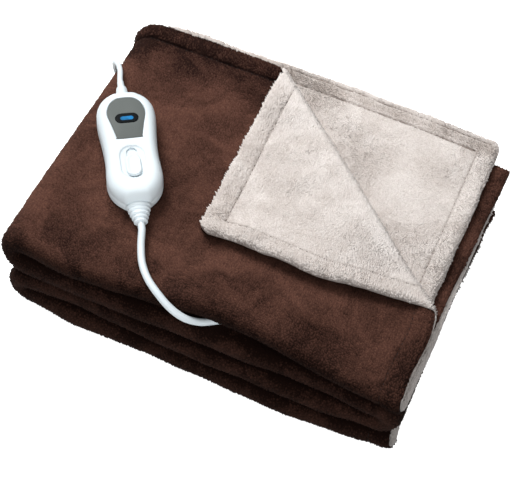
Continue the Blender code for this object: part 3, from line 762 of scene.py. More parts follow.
def length_section():
    """The four quarters in the (x, height) plane, from the top quarter's right hem on."""
    half = QUARTER_PITCH / 2
    lowest = 1.5 * LAYER_PITCH + HALF_SHEET
    level = [lowest + QUARTER_PITCH * k for k in (3, 2, 1, 0)]
    quarter = math.pi / 2
    return [
        run(TOP_HEM_X, LEFT_TURN_X, level[0], 1.0),
        turn(LEFT_TURN_X, level[0] - half, half, quarter, math.pi, False),
        run(LEFT_TURN_X, RIGHT_TURN_X, level[1], -1.0),
        turn(RIGHT_TURN_X, level[1] - half, half, quarter, -math.pi, True),
        run(RIGHT_TURN_X, LEFT_TURN_X, level[2], 1.0),
        turn(LEFT_TURN_X, level[2] - half, half, quarter, math.pi, False),
        run(LEFT_TURN_X, LOW_HEM_X, level[3], -1.0),
    ]


DEPTH = depth_section()
LENGTH = length_section()
SHEET_DEPTH = sum(piece[0] for piece in DEPTH)
SHEET_LENGTH = sum(piece[0] for piece in LENGTH)
# where each piece of the two sections starts
START = [sum(piece[0] for piece in DEPTH[:index]) for index in range(8)]
COLUMN = [sum(piece[0] for piece in LENGTH[:index]) for index in range(8)]
FIRST_RUN = START[1]
TOP_RUN = COLUMN[1]
SECOND_START = SHEET_DEPTH - DEPTH[6][0]


def on_section(section, s, offset):
    """The point at distance s along a section, moved by offset towards the brown face."""
    index = 0
    while index < len(section) - 1 and s > section[index][0]:
        s -= section[index][0]
        index += 1
    length, place = section[index]
    along, up, across, rise = place(s)
    return along + offset * across, up + offset * rise, index, s / length


def hem_step(depth_index, share, column):
    """How far a quarter's right hem stands out at a place of the depth section."""
    t = clamp(share)
    if depth_index == 0:
        t = t ** 5      # the first layer's hem bows out only near the front
    before, after = HEM_STEP[depth_index][column], HEM_STEP[depth_index + 1][column]
    return (before * (1.0 - t) + after * t) * MM


def quarter_mix(length_index, share):
    """The two quarters that a place of the length section lies between, and how far it is on."""
    if length_index % 2 == 0:
        quarter = length_index // 2
        return quarter, quarter, 0.0
    before = (length_index - 1) // 2
    return before, before + 1, smooth(share)


def front_edge(x, quarter):
    """Where a quarter's front fold reaches, on a smooth line through the table."""
    first, step = FRONT_EDGE[0][0], FRONT_EDGE[1][0] - FRONT_EDGE[0][0]
    last = len(FRONT_EDGE) - 1
    place = clamp((x / MM - first) / step, 0.0, last - 0.001)
    k = int(place)
    rows = [FRONT_EDGE[clamp(k + shift, 0, last)][quarter + 1] for shift in (-1, 0, 1, 2)]
    return spline(*rows, place - k) * MM


def pile_height(x):
    """The pile is thick at its folded side and thinner at its open side."""
    t = (x - PLAN_LEFT) / (PLAN_RIGHT - PLAN_LEFT)
    return 1.0 - (1.0 - THIN_SIDE) * t


def swell(x, y):
    """Slow unevenness of the pile's height, as a share of it, and none under the handset."""
    wave = math.sin(15.0 * x + 0.6) * math.cos(9.0 * y - 0.4)
    away = ((x - HANDSET_X) ** 2 + (y - HANDSET_Y) ** 2) / 0.085 ** 2
    return 0.012 * wave * (1.0 - math.exp(-away))


def second_bow(x):
    """How far the second layer's back hem bows out, with a second small bow near the left."""
    t = clamp((x + 0.215) / 0.41)
    start = smooth((x + 0.205) / 0.035)
    return (SECOND_BOW * math.sin(math.pi * t) ** 0.7 + 2.8 * MM * bell(x + 0.145, 0.03)) * start


def lead_room(x, y):
    """How far the top quarter is lifted along the front, where the throw's lead goes in."""
    sideways = smooth((0.085 - abs(x - LEAD_ROOM_X)) / 0.045)
    inward = smooth((-0.080 - y) / 0.034)
    return LEAD_ROOM * sideways * inward


def front_ripple(x, quarter):
    """Small unevenness of a front fold, more of it near the open side."""
    more = 0.7 + 0.9 * smooth((x - 0.10) / 0.09)
    wave = math.sin(61.0 * x + 2.1 * quarter) + 0.7 * math.sin(113.0 * x + 4.0 * quarter + 1.0)
    return 0.6 * MM * more * wave


def fold_sheet(u, v, offset):
    """Carry a point of the flat sheet to its place in the pile.

    u is the distance from the first layer's back hem, v the distance from the top quarter's right
    hem, and offset the distance from the middle of the sheet towards its brown face.
    """
    y, height, depth_index, depth_share = on_section(DEPTH, u, offset)
    x, z, length_index, length_share = on_section(LENGTH, v, height)
    if length_index == 0:
        x += hem_step(depth_index, depth_share, 0) * smooth(1.0 - 4.0 * length_share)
    elif length_index == 6:
        x += hem_step(depth_index, depth_share, 1) * smooth(4.0 * length_share - 3.0)
    before, after, mix = quarter_mix(length_index, length_share)
    front = (front_edge(x, before) + front_ripple(x, before)) * (1.0 - mix)
    front += (front_edge(x, after) + front_ripple(x, after)) * mix
    plain_front = FRONT_TURN_Y - 1.5 * LAYER_PITCH - HALF_SHEET
    back = (BACK_SHIFT[before] * (1.0 - mix) + BACK_SHIFT[after] * mix) * MM
    t = (y - FRONT_TURN_Y) / (BACK_TURN_Y - FRONT_TURN_Y)
    near_front = smooth(1.0 - t)
    near_back = smooth(2.0 * t - 1.0)
    if depth_index in (2, 3, 4):
        back -= FOLD_SET_IN * smooth((x - 0.03) / 0.17)
    if depth_index == 6 and length_index == 0:
        back += second_bow(x)
    if length_index < 2:
        x += LEFT_SET_IN * smooth((y + 0.10) / 0.22) * smooth((-0.150 - x) / 0.04)
    elif length_index == 5:
        x += LOW_SET_IN * math.sin(math.pi * clamp(length_share))
    z *= pile_height(x) * (1.0 + swell(x, y))
    if length_index == 0:
        z += lead_room(x, y)
        if depth_index == 0:
            x += FIRST_BULGE * bell(y + 0.072, 0.047) * smooth((x - 0.12) / 0.06)
    y += (front - plain_front) * near_front + back * near_back
    return Vector((x, y, z))


# ---------------------------------------------------------------- the turned-back corner


def crease_frame():
    """A point of the crease, and the direction from it to the corner, in the flat top layer."""
    point = Vector((CREASE_BACK_X, TOP_HEM_Y))
    along = Vector((TOP_HEM_X, CREASE_RIGHT_Y)) - point
    normal = Vector((-along.y, along.x)).normalized()
    if normal.dot(Vector((TOP_HEM_X, TOP_HEM_Y)) - point) < 0:
        normal.negate()
    return point, normal


CREASE_POINT, CREASE_NORMAL = crease_frame()
HALF_TURN = math.pi * CREASE_RADIUS


def beyond_crease(x, y):
    """Distance of a point of the top quarter's plan past the crease, towards the corner."""
    return (Vector((x, y)) - CREASE_POINT).dot(CREASE_NORMAL)


def turn_corner(x, y, offset):
    """Roll what lies beyond the crease up and over, onto the layer in front of it."""
    if beyond_crease(x, y) <= 1e-7:
        return x, y, offset
    curl = FLAP_CURL * smooth(1.0 - (TOP_HEM_X - x) / 0.045)
    t = clamp((TOP_HEM_Y - y) / (TOP_HEM_Y - CREASE_RIGHT_Y))
    near_hem = smooth((x - TOP_HEM_X + 0.08) / 0.08)
    x += FLAP_BULGE * math.sin(math.pi * t) ** 2 * near_hem
    beyond = beyond_crease(x, y)
    if beyond < HALF_TURN:
        angle = beyond / CREASE_RADIUS
        reach = (CREASE_RADIUS - offset) * math.sin(angle)
        height = CREASE_RADIUS - (CREASE_RADIUS - offset) * math.cos(angle)
        lifted = 0.0
        room = 0.0
    else:
        reach = HALF_TURN - beyond
        height = 2.0 * CREASE_RADIUS - offset
        lifted = smooth((beyond - HALF_TURN) / 0.10)
        room = (1.6 * MM + curl) * smooth((beyond - HALF_TURN) / 0.03) + flap_wave(x, y)
        reach *= FLAP_REACH
        x += FLAP_SLIDE * reach * CREASE_NORMAL.y
        y -= FLAP_SLIDE * reach * CREASE_NORMAL.x
    x += (reach - beyond) * CREASE_NORMAL.x
    y += (reach - beyond) * CREASE_NORMAL.y
    towards_right = smooth(x / 0.15) * smooth((0.06 - y) / 0.09)
    return x, y, height + FLAP_RISE * lifted * towards_right + room


def flap_wave(x, y):
    """Soft waves of the turned-back corner, none of them at its crease."""
    beyond = beyond_crease(x, y) - HALF_TURN
    fade = smooth(beyond / 0.05)
    wave = noise.noise(Vector((x * 17.0, y * 26.0, 3.7)))
    wave += 0.5 * noise.noise(Vector((x * 40.0, y * 45.0, 9.1)))
    return 2.5 * MM * fade * max(-0.5, wave)


# ---------------------------------------------------------------- the cloth

# where the sheet is divided near its edges, closest at the stitch lines
HEM_MARKS = [mark * MM for mark in (
    0.5, 1.3, 2.4, 3.8, 5.2, 6.7, 8.0, 9.3, 11.4, 13.8, 16.0, 17.5, 18.4, 19.0, 19.6, 20.4, 21.4,
    23.0, 26.0)]
BACK_HEM_LINES = (8.0 * MM, 20.4 * MM)


def spaced(start, end, pitch):
    """Even steps of about one pitch from start up to, and without, end."""
    count = max(1, math.ceil((end - start) / pitch))
    return [start + (end - start) * k / count for k in range(count)]


def stations(section, pitches):
    """Distances along a section where the sheet is divided, closer together at its two hems.

    pitches has a list for each piece of the section, of (share of the piece, pitch in mm).
    """
    marks = []
    start = 0.0
    for (length, _), rows in zip(section, pitches):
        low = 0.0
        for share, pitch in rows:
            marks += spaced(start + low, start + length * share, pitch * MM)
            low = length * share
        start += length
    edge = HEM_MARKS[-1] + 1.2 * MM
    inner = [mark for mark in marks if edge < mark < start - edge]
    return [0.0] + HEM_MARKS + inner + [start - mark for mark in reversed(HEM_MARKS)] + [start]


# for each piece of a section: up to which share of it the sheet is divided at which pitch, in mm
FACE_DEPTH = [[(1, 4.2)], [(1, 2.0)], [(1, 26)], [(1, 1.6)], [(1, 26)], [(1, 2.4)], [(1, 24)]]
FACE_LENGTH = [[(1, 4.2)], [(1, 2.8)], [(1, 12)], [(1, 3.8)], [(1, 12)], [(1, 3.2)], [(1, 12)]]
BACK_DEPTH = [[(0.74, 3.6), (1, 20)], [(1, 3.4)], [(1, 28)], [(1, 1.8)], [(1, 28)], [(1, 1.6)],
              [(0.26, 24), (1, 3.4)]]
BACK_LENGTH = [[(0.70, 3.6), (1, 22)], [(1, 4.2)], [(1, 20)], [(1, 4.2)], [(1, 20)], [(1, 4.2)],
               [(1, 20)]]


def flat_sheet(us, vs):
    """The flat sheet in (x, y), with its rows and columns at the given distances from two hems."""
    bm = bmesh.new()
    columns, rows = len(vs) - 1, len(us) - 1
    bmesh.ops.create_grid(bm, x_segments=columns, y_segments=rows, size=0.5)
    for vert in bm.verts:
        j = round((vert.co.x + 0.5) * columns)
        k = round((vert.co.y + 0.5) * rows)
        vert.co = (TOP_HEM_X - vs[j], TOP_HEM_Y - us[k], 0.0)
    for part in range(9):
        spot = CREASE_POINT + CREASE_NORMAL * (HALF_TURN * part / 8)
        bmesh.ops.bisect_plane(
            bm,
            geom=bm.verts[:] + bm.edges[:] + bm.faces[:],
            dist=1e-6,
            plane_co=(spot.x, spot.y, 0.0),
            plane_no=(CREASE_NORMAL.x, CREASE_NORMAL.y, 0.0),
        )
    return bm


def round_corner(u, v):
    """Draw a point near a corner of the flat sheet in, so that the corner is round."""
    near_u = min(u, SHEET_DEPTH - u)
    near_v = min(v, SHEET_LENGTH - v)
    if near_u >= CORNER_RADIUS or near_v >= CORNER_RADIUS:
        return u, v
    across, along = CORNER_RADIUS - near_u, CORNER_RADIUS - near_v
    share = max(across, along) / math.hypot(across, along)
    near_u, near_v = CORNER_RADIUS - across * share, CORNER_RADIUS - along * share
    return (near_u if u < SHEET_DEPTH / 2 else SHEET_DEPTH - near_u,
            near_v if v < SHEET_LENGTH / 2 else SHEET_LENGTH - near_v)


def from_edge(u, v):
    """Distance from the nearest edge of the flat sheet."""
    return max(0.0, min(u, SHEET_DEPTH - u, v, SHEET_LENGTH - v))


def free_side(u, v, is_face):
    """How far a panel's outside may puff up there: about 1 where it lies open, 0 between layers."""
    if v > TOP_RUN:
        return 1.0 if is_face and v < COLUMN[2] and u < START[2] else 0.0
    x = TOP_HEM_X - v
    if u < FIRST_RUN:
        flap = smooth((beyond_crease(x, TOP_HEM_Y - u) - HALF_TURN) / 0.012)
        return 1.0 - 0.45 * flap if is_face else 1.15 * flap
    if is_face:
        return smooth(1.0 - (u - FIRST_RUN) / 0.024)
    if u < SECOND_START:
        return 0.0
    y = FRONT_TURN_Y + u - SECOND_START
    return smooth((beyond_crease(x, y) + 0.002) / 0.010)


def seam_depth(u, v, is_face, hem_width):
    """How deep the stitching pulls the plush in, from 0 to 1, with small puckers along it."""
    distance = from_edge(u, v)
    pucker = noise.noise(Vector((u * 60.0, v * 60.0, 0.5)))
    if SHEET_DEPTH - u <= distance + 1e-9:
        line = max(bell(distance - mark, 0.0012) for mark in BACK_HEM_LINES)
    elif is_face and u <= distance + 1e-9:
        line = 1.6 * bell(distance - hem_width, 0.0018)
    else:
        line = 0.5 * bell(distance - hem_width, 0.0011)
    return line * (0.8 + 0.7 * pucker)


def face_lie(u, v):
    """Painted light and shade on the brown nap: how much lighter or darker it is made at a place than
    elsewhere.
    """
    # 0 on the top quarter, 1 on the quarters under it
    below = smooth((v - TOP_RUN) / (COLUMN[2] - TOP_RUN))
    # painted shade on the quarters under the top one
    lie = -0.13 * below
    if u < START[2] + 0.012:
        # round the front fold, t goes from 0 at its top to 1 at its underside, with painted shade
        # on the top fold's underside and in the hollows between the lower folds
        t = (u - START[1]) / (START[2] - START[1])
        near = smooth(t + 1.6)
        lie -= (0.16 * near + 0.34 * smooth(t)) * (1.0 - below)
        lie -= (0.02 + 0.46 * min(1.0, abs(2.0 * t - 1.0)) ** 1.6) * near * below
    if v < COLUMN[2]:
        # darker at the back hem, as painted shade, and at the right one
        lie -= 0.46 * (1.0 - smooth((u - 0.012) / 0.07))
        lie -= 0.14 * smooth(1.0 - (v - 0.008) / 0.02)
    return lie


def back_lie(u, v):
    """Painted light and shade on the cream nap: how much lighter or darker it is made at a place than
    elsewhere.
    """
    # painted light: lighter at the open right side, in the lowest and in the top quarter
    if v > TOP_RUN:
        return 0.46 * smooth(1.0 - (SHEET_LENGTH - v) / OPEN_REACH)
    open_side = smooth(1.0 - v / OPEN_REACH)
    if START[1] < u < START[3]:
        return 0.48 * open_side
    x = TOP_HEM_X - v
    if u < FIRST_RUN:
        # the turned-back corner: a painted highlight along its fold, and darker on its hems
        beyond = beyond_crease(x, TOP_HEM_Y - u) - HALF_TURN
        hem = -0.13 * smooth((0.021 - from_edge(u, v)) / 0.004)
        return 0.15 * smooth(1.0 - beyond / 0.030) + 0.06 + hem
    if u > SECOND_START:
        # the layer that it uncovers: painted shade near the fold and between the hem's two stitch
        # lines, and painted light at its open side where the layer above covers it
        beyond = beyond_crease(x, FRONT_TURN_Y + u - SECOND_START)
        band = bell(SHEET_DEPTH - u - 0.0142, 0.0055)
        covered = smooth(-beyond / 0.02)
        return 0.20 * smooth(beyond / 0.05) - 0.11 - 0.30 * band + 0.50 * open_side * covered
    return 0.0


def rim_thickness(u, v):
    """Half the sheet's thickness, which goes down at its rounded edge."""
    roundness = 1.0 - min(1.0, from_edge(u, v) / EDGE_ROUND)
    return HALF_SHEET * math.sqrt(max(0.03, 1.0 - roundness ** 2))


def outside_offset(u, v, is_face, cloth):
    """Distance of a panel's outside from the middle of the sheet, and the seam's depth there."""
    distance = from_edge(u, v)
    seam = seam_depth(u, v, is_face, cloth.hem_width)
    thick = rim_thickness(u, v) - 1.3 * MM * seam
    free = free_side(u, v, is_face)
    if distance < cloth.hem_width:
        roll = math.sin(math.pi * (distance / cloth.hem_width) ** 0.75)
        if is_face and distance == u:
            free *= 1.9     # the back hem of the first layer is the fullest
        elif not is_face:
            free *= 1.3
        pucker = noise.noise(Vector((u * 75.0, v * 75.0, 7.3)))
        thick += cloth.hem_puff * free * roll * (1.0 + 0.35 * pucker)
    place = Vector((u * 150.0, v * 150.0, 2.0 if is_face else 5.0))
    relief = noise.noise(place) + 0.6 * noise.noise(place * 2.3)
    thick += cloth.pile_relief * relief * (0.35 + 0.65 * min(1.0, free))
    return thick, seam


def edge_waver(u, v):
    """Small wandering of the throw's edges in the plane of the cloth."""
    distance = from_edge(u, v)
    if distance > OPEN_REACH:
        return 0.0
    wander = noise.noise(Vector((u * 28.0, v * 28.0, 4.4)))
    wander += 0.5 * noise.noise(Vector((u * 90.0, v * 90.0, 1.4)))
    return 1.4 * MM * wander * (1.0 - distance / OPEN_REACH)


def edge_roll(u, v, is_face):
    """How far the cream side rolls past the brown one at the open side's hem, towards the front."""
    share = smooth((u - 0.15) / 0.05) * smooth((START[1] + 0.02 - u) / 0.03)
    share *= smooth(1.0 - v / OPEN_REACH)
    return (-0.8 if is_face else 0.6) * MM * share


def outside_place(u, v, is_face, cloth):
    """A place with its corner rounded, its shift along the cloth, its outside and seam's depth."""
    shift = edge_waver(u, v) + edge_roll(u, v, is_face)
    u, v = round_corner(u, v)
    return u, v, shift, *outside_offset(u, v, is_face, cloth)


def handset_press(point):
    """The plush under the handset comes up to it, and rises a little round its rim."""
    local = SEAT_BACK @ point
    if abs(local.z) > 12 * MM:
        return 0.0
    rim = math.hypot(local.x, local.y - clamp(local.y, *SEAT_ENDS)) - SEAT_HALF_WIDTH
    if rim > 30 * MM:
        return 0.0
    if rim < 0.0:
        return SEAT_RISE
    return SEAT_RISE * smooth(1.0 - rim / 0.02) + 1.3 * MM * bell(rim - 0.0035, 0.0035)


def panel_point(u, v, shift, offset):
    """Where a point at a distance from the middle of the sheet comes to lie in the pile."""
    if shift:
        grow_u = shift * (bell(u, 0.02) - bell(SHEET_DEPTH - u, 0.02))
        grow_v = shift * (bell(v, 0.02) - bell(SHEET_LENGTH - v, 0.02))
        u, v = u - grow_u, v - grow_v
    x, y, offset = turn_corner(TOP_HEM_X - v, TOP_HEM_Y - u, offset)
    point = fold_sheet(TOP_HEM_Y - y, TOP_HEM_X - x, offset)
    if offset > PANEL_GAP and u < FIRST_RUN:
        point.z += handset_press(point)
    point.z = max(point.z, 0.0)
    return point


def make_panel(name, is_face, us, vs, material, cloth):
    """One plush panel of the throw, folded into the pile."""
    bm = flat_sheet(us, vs)
    copy = bmesh.ops.extrude_face_region(bm, geom=bm.faces[:], use_keep_orig=True)
    raised = [item for item in copy["geom"] if isinstance(item, bmesh.types.BMVert)]
    bmesh.ops.translate(bm, verts=raised, vec=(0.0, 0.0, 1.0))
    flat = bm.loops.layers.uv.new("flat")
    for face in bm.faces:
        for loop in face.loops:
            loop[flat].uv = (TOP_HEM_X - loop.vert.co.x, TOP_HEM_Y - loop.vert.co.y)
    seams = bm.verts.layers.float.new("seam")
    # painted light and shade of each place, kept for the material
    lies = bm.verts.layers.float.new("lie")
    sense = 1.0 if is_face else -1.0
    for vert in bm.verts:
        u, v = TOP_HEM_Y - vert.co.y, TOP_HEM_X - vert.co.x
        outside = vert.co.z > 0.5
        u, v, shift, thick, seam = outside_place(u, v, is_face, cloth)
        vert[seams] = seam if outside else 0.0
        vert[lies] = face_lie(u, v) if is_face else back_lie(u, v)
        if not outside:
            thick = PANEL_GAP / 2 * (0.5 + 0.5 * smooth(from_edge(u, v) / 0.004))
        vert.co = panel_point(u, v, shift, sense * thick)
    node = "face_panel" if is_face else "back_panel"
    piece = finish_piece(name, bm, material, THROW, replaced=(node,))
    return piece


# ---------------------------------------------------------------- tufts and stitching

# how deep a tuft's root lies in its panel
ROOT_DEPTH = 0.35 * MM
# patches of the flat sheet with tufts: from u, to u, from v, to v, and the tufts' pitch in mm
TOP_PATCHES = (
    (0.0, START[2] + 0.008, 0.0, COLUMN[2], 1.75),
)
FOLD_PATCHES = (
    # the lower quarters' front folds, and the outermost layer on the lowest left turn
    (START[1] - 0.03, START[2] + 0.012, COLUMN[2], SHEET_LENGTH, 2.1),
    (0.0, START[1] - 0.03, COLUMN[5], COLUMN[6] + 0.01, 2.1),
    # the outermost layer on the right turn, and the third layer's open hem
    (START[2] + 0.012, START[3], COLUMN[3] - 0.01, COLUMN[4] + 0.01, 2.1),
    (START[4] - 0.01, START[5], 0.0, BACK_STRIP, 1.8),
    # the folds and the lower quarters' hems at the back
    (START[3] - 0.012, START[4] + 0.008, 0.0, SHEET_LENGTH, 2.3),
    (0.0, INNER_STRIP, COLUMN[2], SHEET_LENGTH, 2.3),
)
BACK_PATCHES = (
    # the turned-back corner, what it uncovers, and the same layer's hem further down
    (0.0, FLAP_DEPTH, 0.0, FLAP_LENGTH, 1.6),
    (SECOND_START + 0.07, SHEET_DEPTH, 0.0, FLAP_LENGTH, 1.6),
    (SHEET_DEPTH - BACK_STRIP, SHEET_DEPTH, FLAP_LENGTH, SHEET_LENGTH, 2.2),
    # the top quarter's open hems, layer by layer
    (FLAP_DEPTH, START[2], 0.0, INNER_STRIP, 1.6),
    (START[2] - 0.006, START[3], 0.0, OPEN_STRIP, 1.7),
    (START[3], SECOND_START, 0.0, INNER_STRIP, 1.7),
    (SECOND_START, SECOND_START + 0.07, 0.0, OPEN_STRIP, 1.7),
    # the lowest quarter's open hem, wider at its front
    (0.0, SHEET_DEPTH, SHEET_LENGTH - INNER_STRIP, SHEET_LENGTH, 2.2),
    (0.18, START[1] + 0.004, SHEET_LENGTH - 0.022, SHEET_LENGTH - INNER_STRIP, 1.9),
)


def under_flap(x, y):
    """Whether a place of the top layer is covered by the turned-back corner."""
    beyond = beyond_crease(x, y)
    mirrored = Vector((x, y)) - CREASE_NORMAL * (2.0 * beyond - 3.0 * CREASE_RADIUS)
    return beyond < -0.006 and mirrored.x < TOP_HEM_X - 0.012 and mirrored.y < TOP_HEM_Y - 0.012


def face_shows(u, v):
    """Whether a place in a brown patch shows: in the top layer, what the corner leaves."""
    if u > START[1] or v > COLUMN[1]:
        return True
    x, y = TOP_HEM_X - v, TOP_HEM_Y - u
    return beyond_crease(x, y) < 0.4 * HALF_TURN and not under_flap(x, y)


def back_shows(u, v):
    """The same for the cream side: the turned-back corner, what it uncovers and the open hems."""
    x = TOP_HEM_X - v
    if u < START[1]:
        in_corner = beyond_crease(x, TOP_HEM_Y - u) > 0.3 * HALF_TURN
        return v > COLUMN[6] or v < 0.006 or in_corner
    if u < START[3] or SHEET_DEPTH - u < BACK_STRIP:
        return True
    if u < SECOND_START:
        return v < INNER_STRIP
    return v < OPEN_STRIP or beyond_crease(x, FRONT_TURN_Y + u - SECOND_START) > -0.008


def tuft_height(u, v, seam, is_face, cloth):
    """How far a tuft stands up there: more in clumps, most on the hems, least at a stitch line."""
    clump = noise.noise(Vector((u * 160.0, v * 160.0, 6.1)))
    height = cloth.tuft_height * (1.0 + 0.45 * clump) * (1.0 - 0.85 * min(1.0, seam))
    distance = from_edge(u, v)
    if distance < cloth.hem_width:
        height *= 1.25 + 0.6 * noise.noise(Vector((u * 330.0, v * 330.0, 8.8)))
    if not is_face:
        # the cream pile stands past the edge
        height *= 1.0 + 0.12 * smooth(1.0 - distance / 0.003)
    elif u > START[1] or v > COLUMN[1]:
        height *= 0.75
    return height


def tuft_frame(u, v, is_face, cloth):
    """A tuft's root, its directions along u, along v and out of the cloth, and the seam's depth."""
    sense = 1.0 if is_face else -1.0
    u, v, shift, thick, seam = outside_place(u, v, is_face, cloth)
    thick -= ROOT_DEPTH
    root = panel_point(u, v, shift, sense * thick)
    step = 0.4 * MM
    along = []
    for near_u, near_v in ((u + step, v), (u, v + step)):
        near_thick = thick + rim_thickness(near_u, near_v) - rim_thickness(u, v)
        point = panel_point(near_u, near_v, shift, sense * near_thick)
        along.append((point - root).normalized())
    along_u, along_v = along
    out = (along_v.cross(along_u) * sense).normalized()
    return root, along_u, along_v, out, seam


def add_tufts(bm, is_face, patch, shows, cloth, chance):
    """Stand tufts on a patch of a panel, one in each cell of a grid, each a little out of line."""
    low_u, high_u, low_v, high_v, pitch = patch
    pitch *= MM
    rows = round((high_u - low_u) / pitch)
    columns = round((high_v - low_v) / pitch)
    before = set(bm.faces)
    bmesh.ops.create_grid(bm, x_segments=columns, y_segments=rows, size=0.5)
    cells = [face for face in bm.faces if face not in before]
    edges = list({edge for face in cells for edge in face.edges})
    bmesh.ops.split_edges(bm, edges=edges)
    made = bmesh.ops.poke(bm, faces=[face for face in bm.faces if face not in before])
    flat = bm.loops.layers.uv["flat"]
    tips = bm.verts.layers.float["tip"]
    seams = bm.verts.layers.float["seam"]
    lies = bm.verts.layers.float["lie"]
    unwanted = []
    for tip in made["verts"]:
        corners = [edge.other_vert(tip) for edge in tip.link_edges]
        v = high_v - (tip.co.x + 0.5) * (high_v - low_v) + chance.uniform(-0.4, 0.4) * pitch
        u = high_u - (tip.co.y + 0.5) * (high_u - low_u) + chance.uniform(-0.4, 0.4) * pitch
        if from_edge(u, v) < 0.3 * MM or not shows(u, v):
            unwanted += [tip, *corners]
            continue
        root, along_u, along_v, out, seam = tuft_frame(u, v, is_face, cloth)
        # each tuft takes the painted light and shade of its place
        lie = face_lie(u, v) if is_face else back_lie(u, v)
        size = pitch * chance.uniform(0.85, 1.2)
        spin = chance.uniform(0.0, math.tau)
        cos, sin = math.cos(spin) * size, math.sin(spin) * size
        for corner in corners:
            right, up = (corner.co.x - tip.co.x) * columns, (corner.co.y - tip.co.y) * rows
            corner.co = root - along_v * (right * cos - up * sin)
            corner.co -= along_u * (right * sin + up * cos)
            corner.co.z = max(corner.co.z, 0.0)
            corner[seams] = seam
            corner[lies] = lie
        # the way it leans wanders over the cloth, and a little from tuft to tuft
        lean = 2.2 + 2.4 * noise.noise(Vector((u * 22.0, v * 22.0, 3.3)))
        lean += chance.uniform(-0.7, 0.7)
        height = tuft_height(u, v, seam, is_face, cloth) * chance.uniform(0.7, 1.3)
        tip.co = root + out * (ROOT_DEPTH + height)
        tip.co += (along_u * math.cos(lean) + along_v * math.sin(lean)) * height * 0.6
        tip.co.z = max(tip.co.z, 0.0)
        tip[tips] = 1.0
        tip[seams] = seam
        tip[lies] = lie
        for face in tip.link_faces:
            for loop in face.loops:
                loop[flat].uv = (v, u)
    bmesh.ops.delete(bm, geom=unwanted, context="VERTS")


def make_pile(name, is_face, patches, shows, material, cloth, seed):
    """The standing pile of one side of the throw over some patches of it."""
    bm = bmesh.new()
    bm.loops.layers.uv.new("flat")
    bm.verts.layers.float.new("tip")
    bm.verts.layers.float.new("seam")
    # painted light and shade
    bm.verts.layers.float.new("lie")
    chance = random.Random(seed)
    for patch in patches:
        add_tufts(bm, is_face, patch, shows, cloth, chance)
    if not is_face:
        bmesh.ops.reverse_faces(bm, faces=bm.faces)
    return finish_piece(name, bm, material, THROW, closed=False)


def stitch_places(hem_width):
    """The knots of every stitch on the flat sheet: four hems, the last with two lines."""
    rows = [(hem_width, 0, 0), (hem_width, 0, 1), (hem_width, 1, 1)]
    rows += [(line, 1, 0) for line in BACK_HEM_LINES]
    places = []
    for line, far, along_u in rows:
        length, across = (SHEET_DEPTH, SHEET_LENGTH) if along_u else (SHEET_LENGTH, SHEET_DEPTH)
        fixed = across - line if far else line
        count = round((length - 2 * line) / STITCH)
        for k in range(count):
            start = line + (length - 2 * line) * k / count
            knots = [start + share * STITCH for share, _, _ in STITCH_KNOTS]
            places.append([(knot, fixed) if along_u else (fixed, knot) for knot in knots])
    return places


def make_stitches(name, is_face, shows, material, cloth):
    """The lockstitches of the hems on one side of the throw."""
    # a real thread is 0.3 mm thick, drawn at 0.7 mm so that it shows
    data = new_curve(name, 0.35 * MM, 1, material)
    for places in stitch_places(cloth.hem_width):
        if not shows(*places[0]):
            continue
        line = data.splines.new("POLY")
        line.points.add(len(places) - 1)
        for knot, (u, v), (_, rise, thickness) in zip(line.points, places, STITCH_KNOTS):
            root, _, _, out, _ = tuft_frame(u, v, is_face, cloth)
            knot.co = (*(root + out * (rise * MM)), 1.0)
            knot.radius = thickness
    piece = bpy.data.objects.new(name, data)
    bpy.context.scene.collection.objects.link(piece)
    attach(piece, THROW)
    return piece


# ---------------------------------------------------------------- the handset


def seat_matrix():
    """Where the handset lies on the pile: its own X across, Y towards the mains lead, Z up."""
    slope = pile_height(0.0) - pile_height(1.0)
    full = 3 * LAYER_PITCH + 2 * HALF_SHEET + 3 * QUARTER_PITCH
    tilt = math.atan(full * slope)
    height = full * pile_height(HANDSET_X) + HANDSET_CLEAR
    turned = Matrix.Rotation(tilt, 4, "Y") @ Matrix.Rotation(HANDSET_TURN, 4, "Z")
    return Matrix.Translation((HANDSET_X, HANDSET_Y, height)) @ turned


SEAT = seat_matrix()
SEAT_BACK = SEAT.inverted()
SEAT_MM = SEAT @ Matrix.Scale(MM, 4)


def body_rings(rows, outline):
    """Rings of the handset's outline from rows of (inset, height)."""
    return [level_ring(shrunk(outline, inset, *BODY_REACH), z) for inset, z in rows]


def recess(bm, outline, middle, rows, floor_hole=None):
    """Sink a ring through rows of (inset, height) and close its floor, round a hole if given."""
    reach_x = max(point.x for point in outline)
    reach_y = max(point.y for point in outline) - middle
    rings = [level_ring(shrunk(outline, inset, reach_x, reach_y, middle), z) for inset, z in rows]
    top = ring(bm, rings[0])
    low = top
    for points in rings[1:]:
        low = next_ring(bm, low, points)
    if floor_hole is None:
        bmesh.ops.contextual_create(bm, geom=ring_edges(low))
    else:
        fill_between(bm, low, floor_hole)
    return top


